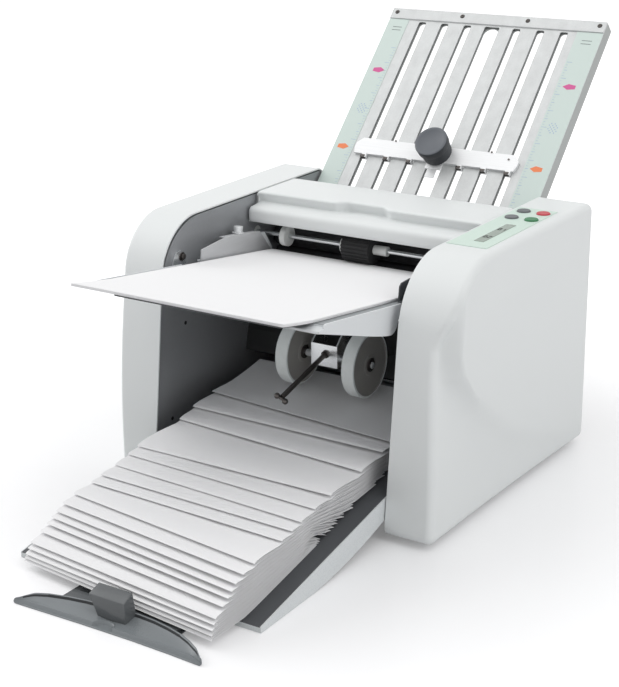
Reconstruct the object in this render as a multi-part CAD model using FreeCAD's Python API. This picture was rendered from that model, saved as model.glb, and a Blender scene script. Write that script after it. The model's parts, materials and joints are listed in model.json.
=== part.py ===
"""Desk-top paper folding machine, built as an assembly of separate pieces.

Frame: +X to the operator's right, -Y towards the operator, +Z up, millimetres.
Pieces are built in machine coordinates: x = 0 at mid width, y = 0 at the foot of the
side covers' front, z = 0 on the table top.  They are then moved along Y so that the
origin lies under the middle of the whole machine.
"""
import FreeCAD, Part
import math
import os

V = FreeCAD.Vector

# ---------------------------------------------------------------- fits and clearances
RUN = 0.05            # radial clearance of a shaft in its hole
SEAT = 0.3            # gap between pieces that may slide on each other
PANEL_GAP = 2.0       # shut line between a moving cover and its neighbours
EPS = 1.0             # how far a cutting tool reaches past the face it cuts

# ---------------------------------------------------------------- overall sizes
WIDTH = 490.0
COVER_DEPTH = 418.5
COVER_HEIGHT = 333.0
FOOT_HEIGHT = 8.0
LEFT_COVER_WIDTH = 65.0
RIGHT_COVER_WIDTH = 76.0
BROW_R = 88.0         # big round edge over the front of the side covers
BROW_Y = 118.0
COVER_WALL = 4.0
COVER_EDGE_R = 9.0
COVER_RIM_R = 1.5
BOSS_R = 7.0
BOSS_FRONT_Y = 70.0
BOSS_BROW_Y = 140.0
BOSS_LOW_Z = 60.0
BOSS_DROP = 51.0      # upper bosses below the cover's top
BOSS_REAR_INSET = 38.5

LEFT_IN = -WIDTH / 2 + LEFT_COVER_WIDTH
RIGHT_IN = WIDTH / 2 - RIGHT_COVER_WIDTH
PATH_X = (LEFT_IN + RIGHT_IN) / 2
TOP_Z = FOOT_HEIGHT + COVER_HEIGHT

# ---------------------------------------------------------------- side frames and bars
FRAME_T = 3.0
FRAME_SET_IN = 1.5
FRAME_EDGE_GAP = 0.5
FRAME_L = LEFT_IN - FRAME_SET_IN
FRAME_R = RIGHT_IN + FRAME_SET_IN
FRAME_L_OUT = FRAME_L - FRAME_T
FRAME_R_OUT = FRAME_R + FRAME_T
BAR_R = 5.0
BASE_T = 3.0
BASE_Z = FOOT_HEIGHT + COVER_WALL + FRAME_EDGE_GAP
BASE_FRONT_Y = 62.0
FOOT_R = 12.0
FOOT_TAPER = 1.5
FOOT_INSET_X = 26.0
FOOT_FRONT_Y = 86.0
FOOT_REAR_Y = 388.0

# ---------------------------------------------------------------- fold rollers and gears
ROLLER_NIP = 0.5       # gap between neighbouring rollers
ROLLER_SHAFT_R = 5.0
ROLLER_END_GAP = 4.0
ROLLER_EDGE_R = 1.0
MODULE = 1.25
GEAR_TEETH = 26
PINION_TEETH = 13
GEAR_T = 8.0
TOOTH_FILL = 0.42     # tooth thickness over circular pitch, at the pitch line
TOOTH_SLOPE = math.tan(math.radians(20.0))
ADDENDUM = 0.85
DEDENDUM = 1.2
PITCH_R = MODULE * GEAR_TEETH / 2
ROLLER_R = PITCH_R - ROLLER_NIP / 2
PINION_R = MODULE * PINION_TEETH / 2
TOOTH_STEP = 360.0 / GEAR_TEETH
PINION_STEP = 360.0 / PINION_TEETH
ROLLER_2_Y = 300.0
ROLLER_2_Z = 237.5
BUSH_R = 8.0
BUSH_LENGTH = 4.0
GEAR_GAP = 3.5
GEAR_X1 = FRAME_L_OUT - GEAR_GAP
GEAR_X0 = GEAR_X1 - GEAR_T
SHAFT_PROUD = 2.0
SHAFT_LEFT_X = GEAR_X0 - SHAFT_PROUD
SHAFT_RIGHT_X = FRAME_R + BUSH_LENGTH + SHAFT_PROUD
IDLER_PIN_R = 4.0

# ---------------------------------------------------------------- motor
MOTOR_R = 32.0
MOTOR_SHAFT_R = 4.0
MOTOR_STAND_OFF = 3.0
MOTOR_FACE_X = SHAFT_LEFT_X - MOTOR_STAND_OFF
MOTOR_LENGTH = 36.0
MOTOR_FLANGE_T = 3.0
MOTOR_POST_R = 4.0
MOTOR_POST_Y = 34.0
MOTOR_POST_Z = 22.0
MOTOR_FLANGE_MARGIN = 2.0

# ---------------------------------------------------------------- feed table and sheets
TABLE_TILT = 7.5
TABLE_FRONT_Y = -122.0
TABLE_FRONT_Z = 307.0
TABLE_LENGTH = 360.0
TABLE_T = 6.0
TABLE_LEFT_GAP = 12.0
TABLE_RIGHT_GAP = 11.0
TABLE_LEFT = LEFT_IN + TABLE_LEFT_GAP
TABLE_RIGHT = RIGHT_IN - TABLE_RIGHT_GAP
TABLE_CORNER_R = 12.0
SKIRT_T = 2.5
SKIRT_FRONT_DEPTH = 9.0
SKIRT_REAR_DEPTH = 34.0
SKIRT_DEEP_T = 138.0
SKIRT_END_T = 181.0
SKIRT_R = 12.0
GROOVE_T = 14.0       # distance of the cross groove from the table's front edge
GROOVE_W = 3.0
GROOVE_DEPTH = 1.2
RAIL_Y = 150.0
RAIL_DROP = 21.0
EAR_T = 10.0
EAR_SPREAD = 115.0
A3_WIDTH = 297.0
A3_LENGTH = 420.0
SHEETS_T = 4.2
SHEETS_FRONT_Y = -172.0
SHEET_CORNER_R = 2.0

# ---------------------------------------------------------------- paper guides
GUIDE_T = 2.0
GUIDE_CLEAR = 5.0
GUIDE_FOOT_W = 12.0
GUIDE_LEG_W = 6.0
GUIDE_LEG_D = 8.0
GUIDE_HUB_R = 9.0
GUIDE_LEG_GAP = 1.0
GUIDE_SLOT_GAP = 2.0
GUIDE_REAR_GAP = 2.0
GUIDE_REAR_RAMP = 20.0
GUIDE_IN = 4.0        # travel towards the sheets
GUIDE_OUT = 5.0       # travel away from them
LEFT_GUIDE_T0 = 223.0
LEFT_GUIDE_T1 = 377.0
LEFT_GUIDE_H = 27.5
LEFT_GUIDE_FRONT_H = 17.0
LEFT_GUIDE_RAMP = 49.0
LEFT_SCREW_T = 302.0
RIGHT_GUIDE_T0 = 190.0
RIGHT_GUIDE_H = 26.5
RIGHT_GUIDE_FRONT_H = 7.0
RIGHT_GUIDE_RAMP = 23.0
RIGHT_SCREW_T = 200.0
SCREW_STEM_R = 2.5
SCREW_COLLAR_R = 5.0
LEFT_SCREW_H = 38.0
LEFT_HEAD_R = 6.0
LEFT_HEAD_H = 9.0
RIGHT_SCREW_H = 12.0
RIGHT_HEAD_R = 4.0
RIGHT_HEAD_H = 6.0

# ---------------------------------------------------------------- feed shaft
FEED_Y = 250.0
FEED_SHAFT_R = 3.0
FEED_ROLLER_R = 20.0
FEED_ROLLER_X0 = PATH_X - 28.5
FEED_ROLLER_W = 42.0
FEED_ROLLER_X1 = FEED_ROLLER_X0 + FEED_ROLLER_W
FEED_RIBS = 24
FEED_RIB_DEPTH = 1.2
HUB_DISC_R = 10.5
HUB_DISC_W = 7.0
COLLAR_R = 6.5
COLLAR_W = 20.0
FEED_WHEEL_X = PATH_X - 126.5
FEED_WHEEL_R = 14.0
FEED_WHEEL_W = 8.0
INFEED_LENGTH = 26.0
PAD_X = (FEED_ROLLER_X0 + FEED_ROLLER_X1) / 2
PAD_W = 30.0
PAD_T0 = TABLE_LENGTH + 6.0
PAD_T1 = TABLE_LENGTH + 22.0
PAD_DEPTH = 3.0

# ---------------------------------------------------------------- top cover
COVER_LIP_Y = 225.0
COVER_LIP_Z = TOP_Z - 38.5
COVER_REAR_Y = 341.0
COVER_REAR_Z = TOP_Z - 19.0
TOP_COVER_T = 3.0
SHELF_RISE = 21.5
SHELF_RUN = 27.0
SHELF_SLOPE = 3.0      # rise of the shelf over its run
LIP_CURVE_Y = 3.0
LIP_CURVE_Z = 5.0
RISER_LEAN = 6.0
RISER_DEPTH = 12.0
RECESS_W = 56.0
RECESS_X = PATH_X - 5.5
RECESS_DEPTH = 12.0
COVER_PIN_R = 3.0
COVER_PIN_Y = 332.0
COVER_PIN_Z = TOP_Z - 14.0

# ---------------------------------------------------------------- upper fold plate
UPPER_TILT = 45.3
UPPER_Y = 419.5
PLATE_SIDE_GAP = 1.8
PLATE_X = PATH_X
PLATE_V0 = -105.0     # lower end, measured along the plate from the cover top's level
PLATE_V1 = 289.0
PLATE_T = 1.5
PAPER_GAP = 3.0
PAN_DEPTH = 20.0
TOP_RAIL_V = 270.0
TOP_RAIL_T = 2.2
SLOT_TOP_V = 268.0
SLOT_BOTTOM_V = -52.0
SLOT_W = 12.0
SLOT_CENTRE_W = 24.0
SLOT_FIRST = 40.0
SLOT_STEP = 37.3
SLOTS_PER_SIDE = 3
RULER_W = 33.3
RULER_RIGHT_W = 39.0
RULER_T = 0.6
SCREW_V = 281.5
SCREW_HEAD_R = 3.2
SCREW_HEAD_T = 1.4
SCREW_SHANK_R = 1.5
SCREW_SPREAD = (-163.6, -53.1, 52.9, 164.1)
STUD_R = 4.0
STUD_LOW_V = -85.0
STUD_HIGH_V = -30.0

# ---------------------------------------------------------------- fold stop and knob
STOP_X0 = PATH_X - 134.5
STOP_X1 = PATH_X + 125.0
STOP_V0 = 28.0
STOP_V1 = 54.0
STOP_T = 4.5
STOP_CHAMFER = 9.0
TOOTH_W = 8.0
TOOTH_DROP = 5.5
KNOB_V = 43.0
KNOB_BASE_R = 19.5
KNOB_CAP_R = 24.0
KNOB_H = 30.0
KNOB_CAP_H = 13.0
KNOB_CAP_EDGE_R = 3.0
KNOB_STEM_R = 4.0

# ---------------------------------------------------------------- lower fold plate
LOWER_TILT = -66.0
LOWER_Y = 338.0
LOWER_Z = 200.0
LOWER_LENGTH = 182.0
LOWER_SLOT_S0 = 36.0
LOWER_SLOT_S1 = 150.0
LOWER_SLOT_W = 10.0
LOWER_SLOT_X = 90.0
LOWER_STOP_S = 60.0
LOWER_STOP_W = 20.0
LOWER_STOP_LENGTH = 230.0
LOWER_KNOB_R = 13.0
LOWER_KNOB_H = 18.0
POCKET_SIDE = 8.0
POCKET_END = 4.0
LOWER_TOOTH_GAP = 1.0

# ---------------------------------------------------------------- exit chute
CHUTE_T = 1.5
CHUTE_NIP_GAP = 3.0    # clear of roller 2 and roller 4 at the nip
CHUTE_BEND_Y = 248.0
CHUTE_BEND_Z = 202.0
CHUTE_DROP_Y = 222.0
CHUTE_DROP_Z = 150.0
CHUTE_END_Y = 216.0
CHUTE_END_Z = 120.0

# ---------------------------------------------------------------- delivery wheels
WHEEL_R = 44.0
WHEEL_W = 18.5
WHEEL_SPREAD = 50.7
WHEEL_X = PATH_X + 0.8
WHEEL_EDGE_R = 1.5
WHEEL_Y = 160.0
WHEEL_Z = 157.0
WHEEL_WEB_T = 8.0
WHEEL_RIM_T = 7.0
WHEEL_HUB_R = 11.0
AXLE_R = 4.0
AXLE_PROUD = 2.0
CARRIER_Y = 196.0
CARRIER_Z = 212.0
BRACKET_X0 = PATH_X - 21.5
BRACKET_X1 = PATH_X + 18.5
BRACKET_T = 2.0
BRACKET_WEB_Y = 146.0
BRACKET_WEB_H = 30.0
BRACKET_WEB_LOW = 9.0  # web's lower edge below the axle
BRACKET_REACH = 9.0    # cheek's margin round the bar and the axle
BRACKET_HEAD = 10.0    # cheek's margin over the bar
HANDLE_R = 3.0
HANDLE_RISE = 8.0      # where it leaves the bracket, above the axle
HANDLE_TIP_Y = 44.0
HANDLE_TIP_Z = 139.0
FORK_SPREAD = 6.0
FORK_BALL_R = 4.5

# ---------------------------------------------------------------- delivery tray and stop
TRAY_FRONT_Y = -259.0
TRAY_REAR_Y = 112.0
TRAY_SLOPE = 0.182
TRAY_LIP_H = 7.5
TRAY_TOP_T = 3.0
TRAY_SIDE_T = 5.0
TRAY_SIDE_GAP = 1.5
TRAY_FLAT_END_Y = -165.0
TRAY_RISE_Y = 0.0
TRAY_RISE_Z = 27.0
TRAY_REAR_Z = 45.0
TRAY_BOW = 5.0        # how far the underside sags below a straight line as it rises
MAT_T = 0.8
MAT_MARGIN = 1.5
STOP_STRIP_T = 2.0
STOP_STRIP_X = PATH_X + 18.5
STOP_STRIP_W = 166.0
STOP_STRIP_ROOT = 25.0  # how far the strip reaches into the wing
STOP_STRIP_REAR_Y = -190.0
WING_X = PATH_X + 29.5
WING_HALF = 133.0
WING_FRONT_Y = -349.0
WING_REAR_Y = -304.0
WING_H = 11.0
WING_FLOOR_T = 4.0
WING_RIM_T = 4.0
BLOCK_X = PATH_X + 27.0
BLOCK_W = 47.0
BLOCK_FRONT_Y = -338.0
BLOCK_REAR_Y = -308.0
BLOCK_H = 36.0
BLOCK_EDGE_R = 2.0
WING_NOTCH_R = 13.0
WING_NOTCH_SHIFT = 4.0  # notch centre left of the block and in front of the wing
STACK_FRONT_Y = -298.0
STACK_BROW_Y = -222.0
STACK_BROW_Z = 58.0
STACK_REAR_Y = 204.0
STACK_TOP_Z = 112.4
STACK_TOP_Y = 138.0
STACK_TAIL_T = 18.0     # thickness over the tray's rear edge
STACK_NOSE_T = 2.0      # thickness of the lowest sheets at the front
STACK_SWELL = 8.0       # how far the stepped front bulges from a straight slope

# ---------------------------------------------------------------- controls
PANEL_X0 = RIGHT_IN + 3.0
PANEL_X1 = RIGHT_IN + 57.0
PANEL_Y0 = 141.0
PANEL_Y1 = 344.0
PANEL_T = 0.8
WINDOW_X = RIGHT_IN + 34.5
WINDOW_W = 13.0
WINDOW_Y0 = 165.0
WINDOW_Y1 = 255.0
WINDOW_T = 0.5
BUTTON_R = 9.0
BUTTON_LEFT_X = RIGHT_IN + 18.0
BUTTON_RIGHT_X = RIGHT_IN + 45.6
BUTTON_FRONT_Y = 289.3
BUTTON_REAR_Y = 325.0
BUTTON_PROUD = 2.0
BUTTON_LENGTH = 14.0
BUTTON_EDGE_R = 1.5
BOARD_Z = TOP_Z - 19.0
BOARD_T = 1.6
BOARD_FRONT_Y = 151.0
INLET_X = RIGHT_IN + 33.0
INLET_Z = 50.0
INLET_W = 27.0
INLET_H = 20.0
INLET_DEPTH = 22.0
INLET_FLANGE = 2.5
INLET_FLANGE_T = 2.0
INLET_WALL = 2.0
BLADE_STEP = 7.0
BLADE_W = 2.0
BLADE_H = 4.0
SWITCH_Z = 90.0
SWITCH_W = 14.0
SWITCH_H = 20.0
SWITCH_TILT = 6.0
SWITCH_PROUD = 1.5
SWITCH_BARREL_R = 2.5

# ---------------------------------------------------------------- rear cover
REAR_COVER_T = 2.0
REAR_COVER_TOP = 285.0
REAR_FLANGE = 15.0
REAR_FLANGE_Z0 = 110.0
REAR_FLANGE_Z1 = 245.0
REAR_WINDOW_W = 240.0
REAR_WINDOW_Z0 = 62.0
REAR_WINDOW_Z1 = 205.0


# ================================================================ shape helpers
def block(x0, x1, y0, y1, z0, z1):
    """Box between two corners."""
    return Part.makeBox(x1 - x0, y1 - y0, z1 - z0, V(x0, y0, z0))


def bar_x(x0, x1, y, z, r):
    """Round bar along X."""
    return Part.makeCylinder(r, x1 - x0, V(x0, y, z), V(1, 0, 0))


def bar_z(x, y, z0, z1, r):
    """Round bar along Z."""
    return Part.makeCylinder(r, z1 - z0, V(x, y, z0), V(0, 0, 1))


def yz_prism(x0, x1, points):
    """Polygon in the YZ plane, carried from x0 to x1."""
    corners = [V(x0, y, z) for y, z in points]
    face = Part.Face(Part.makePolygon(corners + corners[:1]))
    return face.extrude(V(x1 - x0, 0, 0))


def xy_prism(z0, z1, points):
    """Polygon in the XY plane, carried from z0 to z1."""
    corners = [V(x, y, z0) for x, y in points]
    face = Part.Face(Part.makePolygon(corners + corners[:1]))
    return face.extrude(V(0, 0, z1 - z0))


def join(first, *others):
    """One solid from several that touch or overlap."""
    for other in others:
        first = first.fuse(other)
    return first.removeSplitter()


def cut(solid, *tools):
    """Solid less each of the tools."""
    for tool in tools:
        solid = solid.cut(tool)
    return solid


def group(*solids):
    """Separate solids that share a node."""
    return Part.makeCompound(list(solids))


def edges_at(shape, test):
    """Edges whose every end and middle passes the test."""
    chosen = []
    for edge in shape.Edges:
        middle = edge.valueAt((edge.FirstParameter + edge.LastParameter) / 2)
        if all(test(p) for p in [v.Point for v in edge.Vertexes] + [middle]):
            chosen.append(edge)
    return chosen


def turned(shape, tilt, y, z):
    """Shape built flat, turned about X by tilt degrees and moved to y, z."""
    shape = shape.copy()
    shape.rotate(V(0, 0, 0), V(1, 0, 0), tilt)
    shape.translate(V(0, y, z))
    return shape


def on_table(shape):
    """From table coordinates (x, distance down the slope, height) to the machine."""
    return turned(shape, -TABLE_TILT, TABLE_FRONT_Y, TABLE_FRONT_Z)


def on_upper_plate(shape):
    """From plate coordinates (x, distance up the plate, height off it) to the machine."""
    return turned(shape, UPPER_TILT, UPPER_Y, TOP_Z)


def on_lower_plate(shape):
    """From lower plate coordinates (x, distance down the plate, height off it)."""
    return turned(shape, LOWER_TILT, LOWER_Y, LOWER_Z)


# ================================================================ places worked out
def table_z(y):
    """Height of the feed table's upper face at y."""
    return TABLE_FRONT_Z - (y - TABLE_FRONT_Y) * math.tan(math.radians(TABLE_TILT))


def tray_top(y):
    """Height of the delivery tray's upper face at y."""
    return TRAY_LIP_H + TRAY_SLOPE * (y - TRAY_FRONT_Y)


SHEET_RISE = (SHEETS_T + SEAT) / math.cos(math.radians(TABLE_TILT))
FEED_Z = table_z(FEED_Y) + SHEET_RISE + FEED_ROLLER_R + SEAT
RAIL_Z = table_z(RAIL_Y) - RAIL_DROP
ROLLER_CENTRES = {
    1: (ROLLER_2_Y, ROLLER_2_Z + 2 * PITCH_R),
    2: (ROLLER_2_Y, ROLLER_2_Z),
    3: (ROLLER_2_Y + 2 * PITCH_R, ROLLER_2_Z),
    4: (ROLLER_2_Y, ROLLER_2_Z - 2 * PITCH_R),
}


def idler_centre():
    """Point one gear diameter from both roller 1 and the feed shaft, on the upper side."""
    y1, z1 = ROLLER_CENTRES[1]
    run, rise = FEED_Y - y1, FEED_Z - z1
    apart = math.hypot(run, rise)
    height = math.sqrt((2 * PITCH_R) ** 2 - (apart / 2) ** 2)
    return y1 + run / 2 + rise / apart * height, z1 + rise / 2 - run / apart * height


IDLER_Y, IDLER_Z = idler_centre()
MOTOR_Y = ROLLER_CENTRES[4][0]
MOTOR_Z = ROLLER_CENTRES[4][1] - PITCH_R - PINION_R

# tie bars: tray rest, lower rear, upper rear, wheel carrier and guide rail
TRAY_BAR_Y = 95.0
TRAY_REAR_SLOPE = (TRAY_REAR_Z - TRAY_RISE_Z) / (TRAY_REAR_Y - TRAY_RISE_Y)
TRAY_BAR_Z = (TRAY_RISE_Z + TRAY_REAR_SLOPE * (TRAY_BAR_Y - TRAY_RISE_Y)
              - (BAR_R + SEAT) * math.hypot(1.0, TRAY_REAR_SLOPE))
LOWER_BAR_Y = 372.0
LOWER_BAR_Z = 50.0
UPPER_BAR_Y = 400.0
UPPER_BAR_Z = 258.0
BAR_CENTRES = (
    (TRAY_BAR_Y, TRAY_BAR_Z),
    (LOWER_BAR_Y, LOWER_BAR_Z),
    (UPPER_BAR_Y, UPPER_BAR_Z),
    (CARRIER_Y, CARRIER_Z),
    (RAIL_Y, RAIL_Z),
)

# overall length, from the stop's front to the fold plate's upper rear corner
UPPER_SIN = math.sin(math.radians(UPPER_TILT))
UPPER_COS = math.cos(math.radians(UPPER_TILT))
REAR_Y = UPPER_Y + PLATE_V1 * UPPER_COS + PAN_DEPTH * UPPER_SIN
MID_Y = (WING_FRONT_Y + REAR_Y) / 2


# ================================================================ side covers and frames
def cover_outline(inset):
    """Side outline of a cover, moved inwards: leaning front, round brow, flat top."""
    rise = COVER_HEIGHT - BROW_R
    reach = math.hypot(BROW_Y, rise)
    lean = math.atan2(BROW_Y, rise) - math.asin(BROW_R / reach)
    r = BROW_R - inset
    centre_z = TOP_Z - BROW_R
    base = FOOT_HEIGHT + inset
    brow = V(0, BROW_Y - r * math.cos(lean), centre_z + r * math.sin(lean))
    half = (math.pi / 2 - lean) / 2
    middle = V(0, BROW_Y - r * math.sin(half), centre_z + r * math.cos(half))
    top = V(0, BROW_Y, TOP_Z - inset)
    foot = V(0, brow.y - (brow.z - base) * math.tan(lean), base)
    rear_top = V(0, COVER_DEPTH - inset, TOP_Z - inset)
    rear_foot = V(0, COVER_DEPTH - inset, base)
    edges = [
        Part.makeLine(foot, brow),
        Part.Arc(brow, middle, top).toShape(),
        Part.makeLine(top, rear_top),
        Part.makeLine(rear_top, rear_foot),
        Part.makeLine(rear_foot, foot),
    ]
    return Part.Wire(edges)


def cover_body(inset, x0, x1):
    """Solid with the cover's side outline between x0 and x1."""
    face = Part.Face(cover_outline(inset))
    face.translate(V(x0, 0, 0))
    return face.extrude(V(x1 - x0, 0, 0))


def side_cover(inner_x, outer_x):
    """Hollow side cover, open towards the paper path, with bosses that meet the frame."""
    side = 1 if outer_x > inner_x else -1
    low, high = sorted((inner_x, outer_x))
    shell = cover_body(0, low, high)
    rim = edges_at(shell, lambda p: abs(p.x - outer_x) < SEAT)
    shell = shell.makeFillet(COVER_EDGE_R, rim)
    mouth = edges_at(shell, lambda p: abs(p.x - inner_x) < SEAT)
    shell = shell.makeFillet(COVER_RIM_R, mouth)
    low, high = sorted((inner_x - side * EPS, outer_x - side * COVER_WALL))
    shell = shell.cut(cover_body(COVER_WALL, low, high))
    frame_face = inner_x + side * (FRAME_SET_IN + FRAME_T)
    low, high = sorted((frame_face, outer_x - side * COVER_WALL / 2))
    rear_y, high_z = COVER_DEPTH - BOSS_REAR_INSET, TOP_Z - BOSS_DROP
    for y, z in ((BOSS_FRONT_Y, BOSS_LOW_Z), (BOSS_BROW_Y, high_z), (rear_y, BOSS_LOW_Z), (rear_y, high_z)):
        shell = shell.fuse(bar_x(low, high, y, z, BOSS_R))
    return shell.removeSplitter()


def left_side_cover():
    """Narrow cover over the gears and the motor."""
    return side_cover(LEFT_IN, -WIDTH / 2)


def right_side_cover():
    """Wide cover that carries the controls, the inlet and the switch."""
    shell = side_cover(RIGHT_IN, WIDTH / 2)
    for x, y in BUTTON_PLACES.values():
        shell = shell.cut(bar_z(x, y, TOP_Z - COVER_WALL - EPS, TOP_Z + EPS, BUTTON_R + SEAT))
    rear0, rear1 = COVER_DEPTH - COVER_WALL - EPS, COVER_DEPTH + EPS
    inlet = block(INLET_X - INLET_W / 2, INLET_X + INLET_W / 2, rear0, rear1,
                  INLET_Z - INLET_H / 2, INLET_Z + INLET_H / 2)
    half_w = SWITCH_W / 2 + SEAT
    half_h = SWITCH_H / 2 + 4 * SEAT
    switch = block(INLET_X - half_w, INLET_X + half_w, rear0, rear1, SWITCH_Z - half_h, SWITCH_Z + half_h)
    return cut(shell, inlet, switch)


def side_frame(x0):
    """Steel side plate inside a cover, bored for the bushes and the top cover's pins."""
    plate = cover_body(COVER_WALL + FRAME_EDGE_GAP, x0, x0 + FRAME_T)
    reach0, reach1 = x0 - EPS, x0 + FRAME_T + EPS
    for y, z in list(ROLLER_CENTRES.values()) + [(FEED_Y, FEED_Z)]:
        plate = plate.cut(bar_x(reach0, reach1, y, z, BUSH_R + RUN))
    return plate.cut(bar_x(reach0, reach1, COVER_PIN_Y, COVER_PIN_Z, COVER_PIN_R + RUN))


def left_side_frame():
    """Left plate with the idler gear's stub pin."""
    pin = bar_x(SHAFT_LEFT_X, FRAME_L_OUT + EPS, IDLER_Y, IDLER_Z, IDLER_PIN_R)
    return join(side_frame(FRAME_L_OUT), pin)


def right_side_frame():
    """Right plate."""
    return side_frame(FRAME_R)


def tie_bars():
    """Round bars between the side plates."""
    return group(*[bar_x(FRAME_L, FRAME_R, y, z, BAR_R) for y, z in BAR_CENTRES])


def base_plate():
    """Floor pan between the side plates."""
    rear = COVER_DEPTH - COVER_WALL - FRAME_EDGE_GAP - REAR_COVER_T - EPS
    return block(FRAME_L, FRAME_R, BASE_FRONT_Y, rear, BASE_Z, BASE_Z + BASE_T)


def rubber_feet():
    """Four round feet under the floor pan."""
    feet = []
    for x in (FRAME_L + FOOT_INSET_X, FRAME_R - FOOT_INSET_X):
        for y in (FOOT_FRONT_Y, FOOT_REAR_Y):
            foot = Part.makeCone(FOOT_R - FOOT_TAPER, FOOT_R, BASE_Z, V(x, y, 0), V(0, 0, 1))
            feet.append(foot)
    return group(*feet)


def shaft_bushes():
    """Plain bearings of the feed shaft and the fold rollers, in both side plates."""
    bushes = []
    for x0 in (FRAME_L - BUSH_LENGTH, FRAME_R):
        for y, z in ROLLER_CENTRES.values():
            bush = bar_x(x0, x0 + BUSH_LENGTH, y, z, BUSH_R)
            bushes.append(bush.cut(bar_x(x0 - EPS, x0 + BUSH_LENGTH + EPS, y, z, ROLLER_SHAFT_R + RUN)))
        bush = bar_x(x0, x0 + BUSH_LENGTH, FEED_Y, FEED_Z, BUSH_R)
        bushes.append(bush.cut(bar_x(x0 - EPS, x0 + BUSH_LENGTH + EPS, FEED_Y, FEED_Z, FEED_SHAFT_R + RUN)))
    return group(*bushes)


def rear_cover():
    """Sheet between the side plates, with a window that reaches the lower fold stop."""
    rear = COVER_DEPTH - COVER_WALL - FRAME_EDGE_GAP
    panel = block(FRAME_L, FRAME_R, rear - REAR_COVER_T, rear, BASE_Z, REAR_COVER_TOP)
    for x in (FRAME_L, FRAME_R - REAR_COVER_T):
        panel = panel.fuse(block(x, x + REAR_COVER_T, rear - REAR_FLANGE, rear,
                                 REAR_FLANGE_Z0, REAR_FLANGE_Z1))
    window = block(PATH_X - REAR_WINDOW_W / 2, PATH_X + REAR_WINDOW_W / 2,
                   rear - REAR_COVER_T - EPS, rear + EPS, REAR_WINDOW_Z0, REAR_WINDOW_Z1)
    return panel.cut(window).removeSplitter()


# ================================================================ gears and rollers
def mesh_phase(phase, step, heading, mate_step):
    """Angle of a tooth of the gear that lies along heading from a gear with the given phase."""
    share = 0.5 - (phase - heading) / step
    return heading + 180.0 + share * mate_step


def toothed_blank(teeth, phase, x0, x1, y, z):
    """Spur gear blank with straight-flanked teeth, one of them at the phase angle."""
    pitch_r = MODULE * teeth / 2
    half = TOOTH_FILL * math.pi * MODULE / 2
    root_r, tip_r = pitch_r - DEDENDUM * MODULE, pitch_r + ADDENDUM * MODULE
    root_half = (half + DEDENDUM * MODULE * TOOTH_SLOPE) / root_r
    tip_half = (half - ADDENDUM * MODULE * TOOTH_SLOPE) / tip_r
    corners = []
    for k in range(teeth):
        middle = math.radians(phase) + 2 * math.pi * k / teeth
        for r, turn in ((root_r, -root_half), (tip_r, -tip_half), (tip_r, tip_half), (root_r, root_half)):
            corners.append((y + r * math.cos(middle + turn), z + r * math.sin(middle + turn)))
    return yz_prism(x0, x1, corners)


def heading(start, end):
    """Direction from one centre to another, in degrees from +Y towards +Z."""
    return math.degrees(math.atan2(end[1] - start[1], end[0] - start[0]))


def gear_phases():
    """Tooth angle of every gear, so that each pair is in mesh at rest."""
    phases = {2: 90.0}
    for mate in (1, 3, 4):
        direction = heading(ROLLER_CENTRES[2], ROLLER_CENTRES[mate])
        phases[mate] = mesh_phase(phases[2], TOOTH_STEP, direction, TOOTH_STEP)
    direction = heading(ROLLER_CENTRES[1], (IDLER_Y, IDLER_Z))
    phases["idler"] = mesh_phase(phases[1], TOOTH_STEP, direction, TOOTH_STEP)
    direction = heading((IDLER_Y, IDLER_Z), (FEED_Y, FEED_Z))
    phases["feed"] = mesh_phase(phases["idler"], TOOTH_STEP, direction, TOOTH_STEP)
    phases["pinion"] = mesh_phase(phases[4], TOOTH_STEP, -90.0, PINION_STEP)
    return phases


GEAR_PHASES = gear_phases()


def spur_gear(name, y, z, bore_r):
    """Full-size gear on its shaft."""
    gear = toothed_blank(GEAR_TEETH, GEAR_PHASES[name], GEAR_X0, GEAR_X1, y, z)
    return gear.cut(bar_x(GEAR_X0 - EPS, GEAR_X1 + EPS, y, z, bore_r))


def fold_gear(number):
    """Gear on the left end of a fold roller's shaft."""
    y, z = ROLLER_CENTRES[number]
    return spur_gear(number, y, z, ROLLER_SHAFT_R)


def feed_gear():
    """Gear on the left end of the feed shaft."""
    return spur_gear("feed", FEED_Y, FEED_Z, FEED_SHAFT_R)


def idler_gear():
    """Gear that carries the drive from roller 1 to the feed shaft."""
    return spur_gear("idler", IDLER_Y, IDLER_Z, IDLER_PIN_R + RUN)


def motor_pinion():
    """Small gear with the end of the motor's shaft."""
    gear = toothed_blank(PINION_TEETH, GEAR_PHASES["pinion"], GEAR_X0, GEAR_X1, MOTOR_Y, MOTOR_Z)
    return join(gear, bar_x(MOTOR_FACE_X - MOTOR_FLANGE_T, GEAR_X0 + EPS, MOTOR_Y, MOTOR_Z, MOTOR_SHAFT_R))


def fold_roller(number):
    """Fold roller, in one piece with its stepped shaft."""
    y, z = ROLLER_CENTRES[number]
    x0, x1 = FRAME_L + ROLLER_END_GAP, FRAME_R - ROLLER_END_GAP
    body = bar_x(x0, x1, y, z, ROLLER_R)
    rims = edges_at(body, lambda p: abs(p.x - x0) < SEAT) + edges_at(body, lambda p: abs(p.x - x1) < SEAT)
    body = body.makeFillet(ROLLER_EDGE_R, rims)
    return join(body, bar_x(SHAFT_LEFT_X, SHAFT_RIGHT_X, y, z, ROLLER_SHAFT_R))


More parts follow.
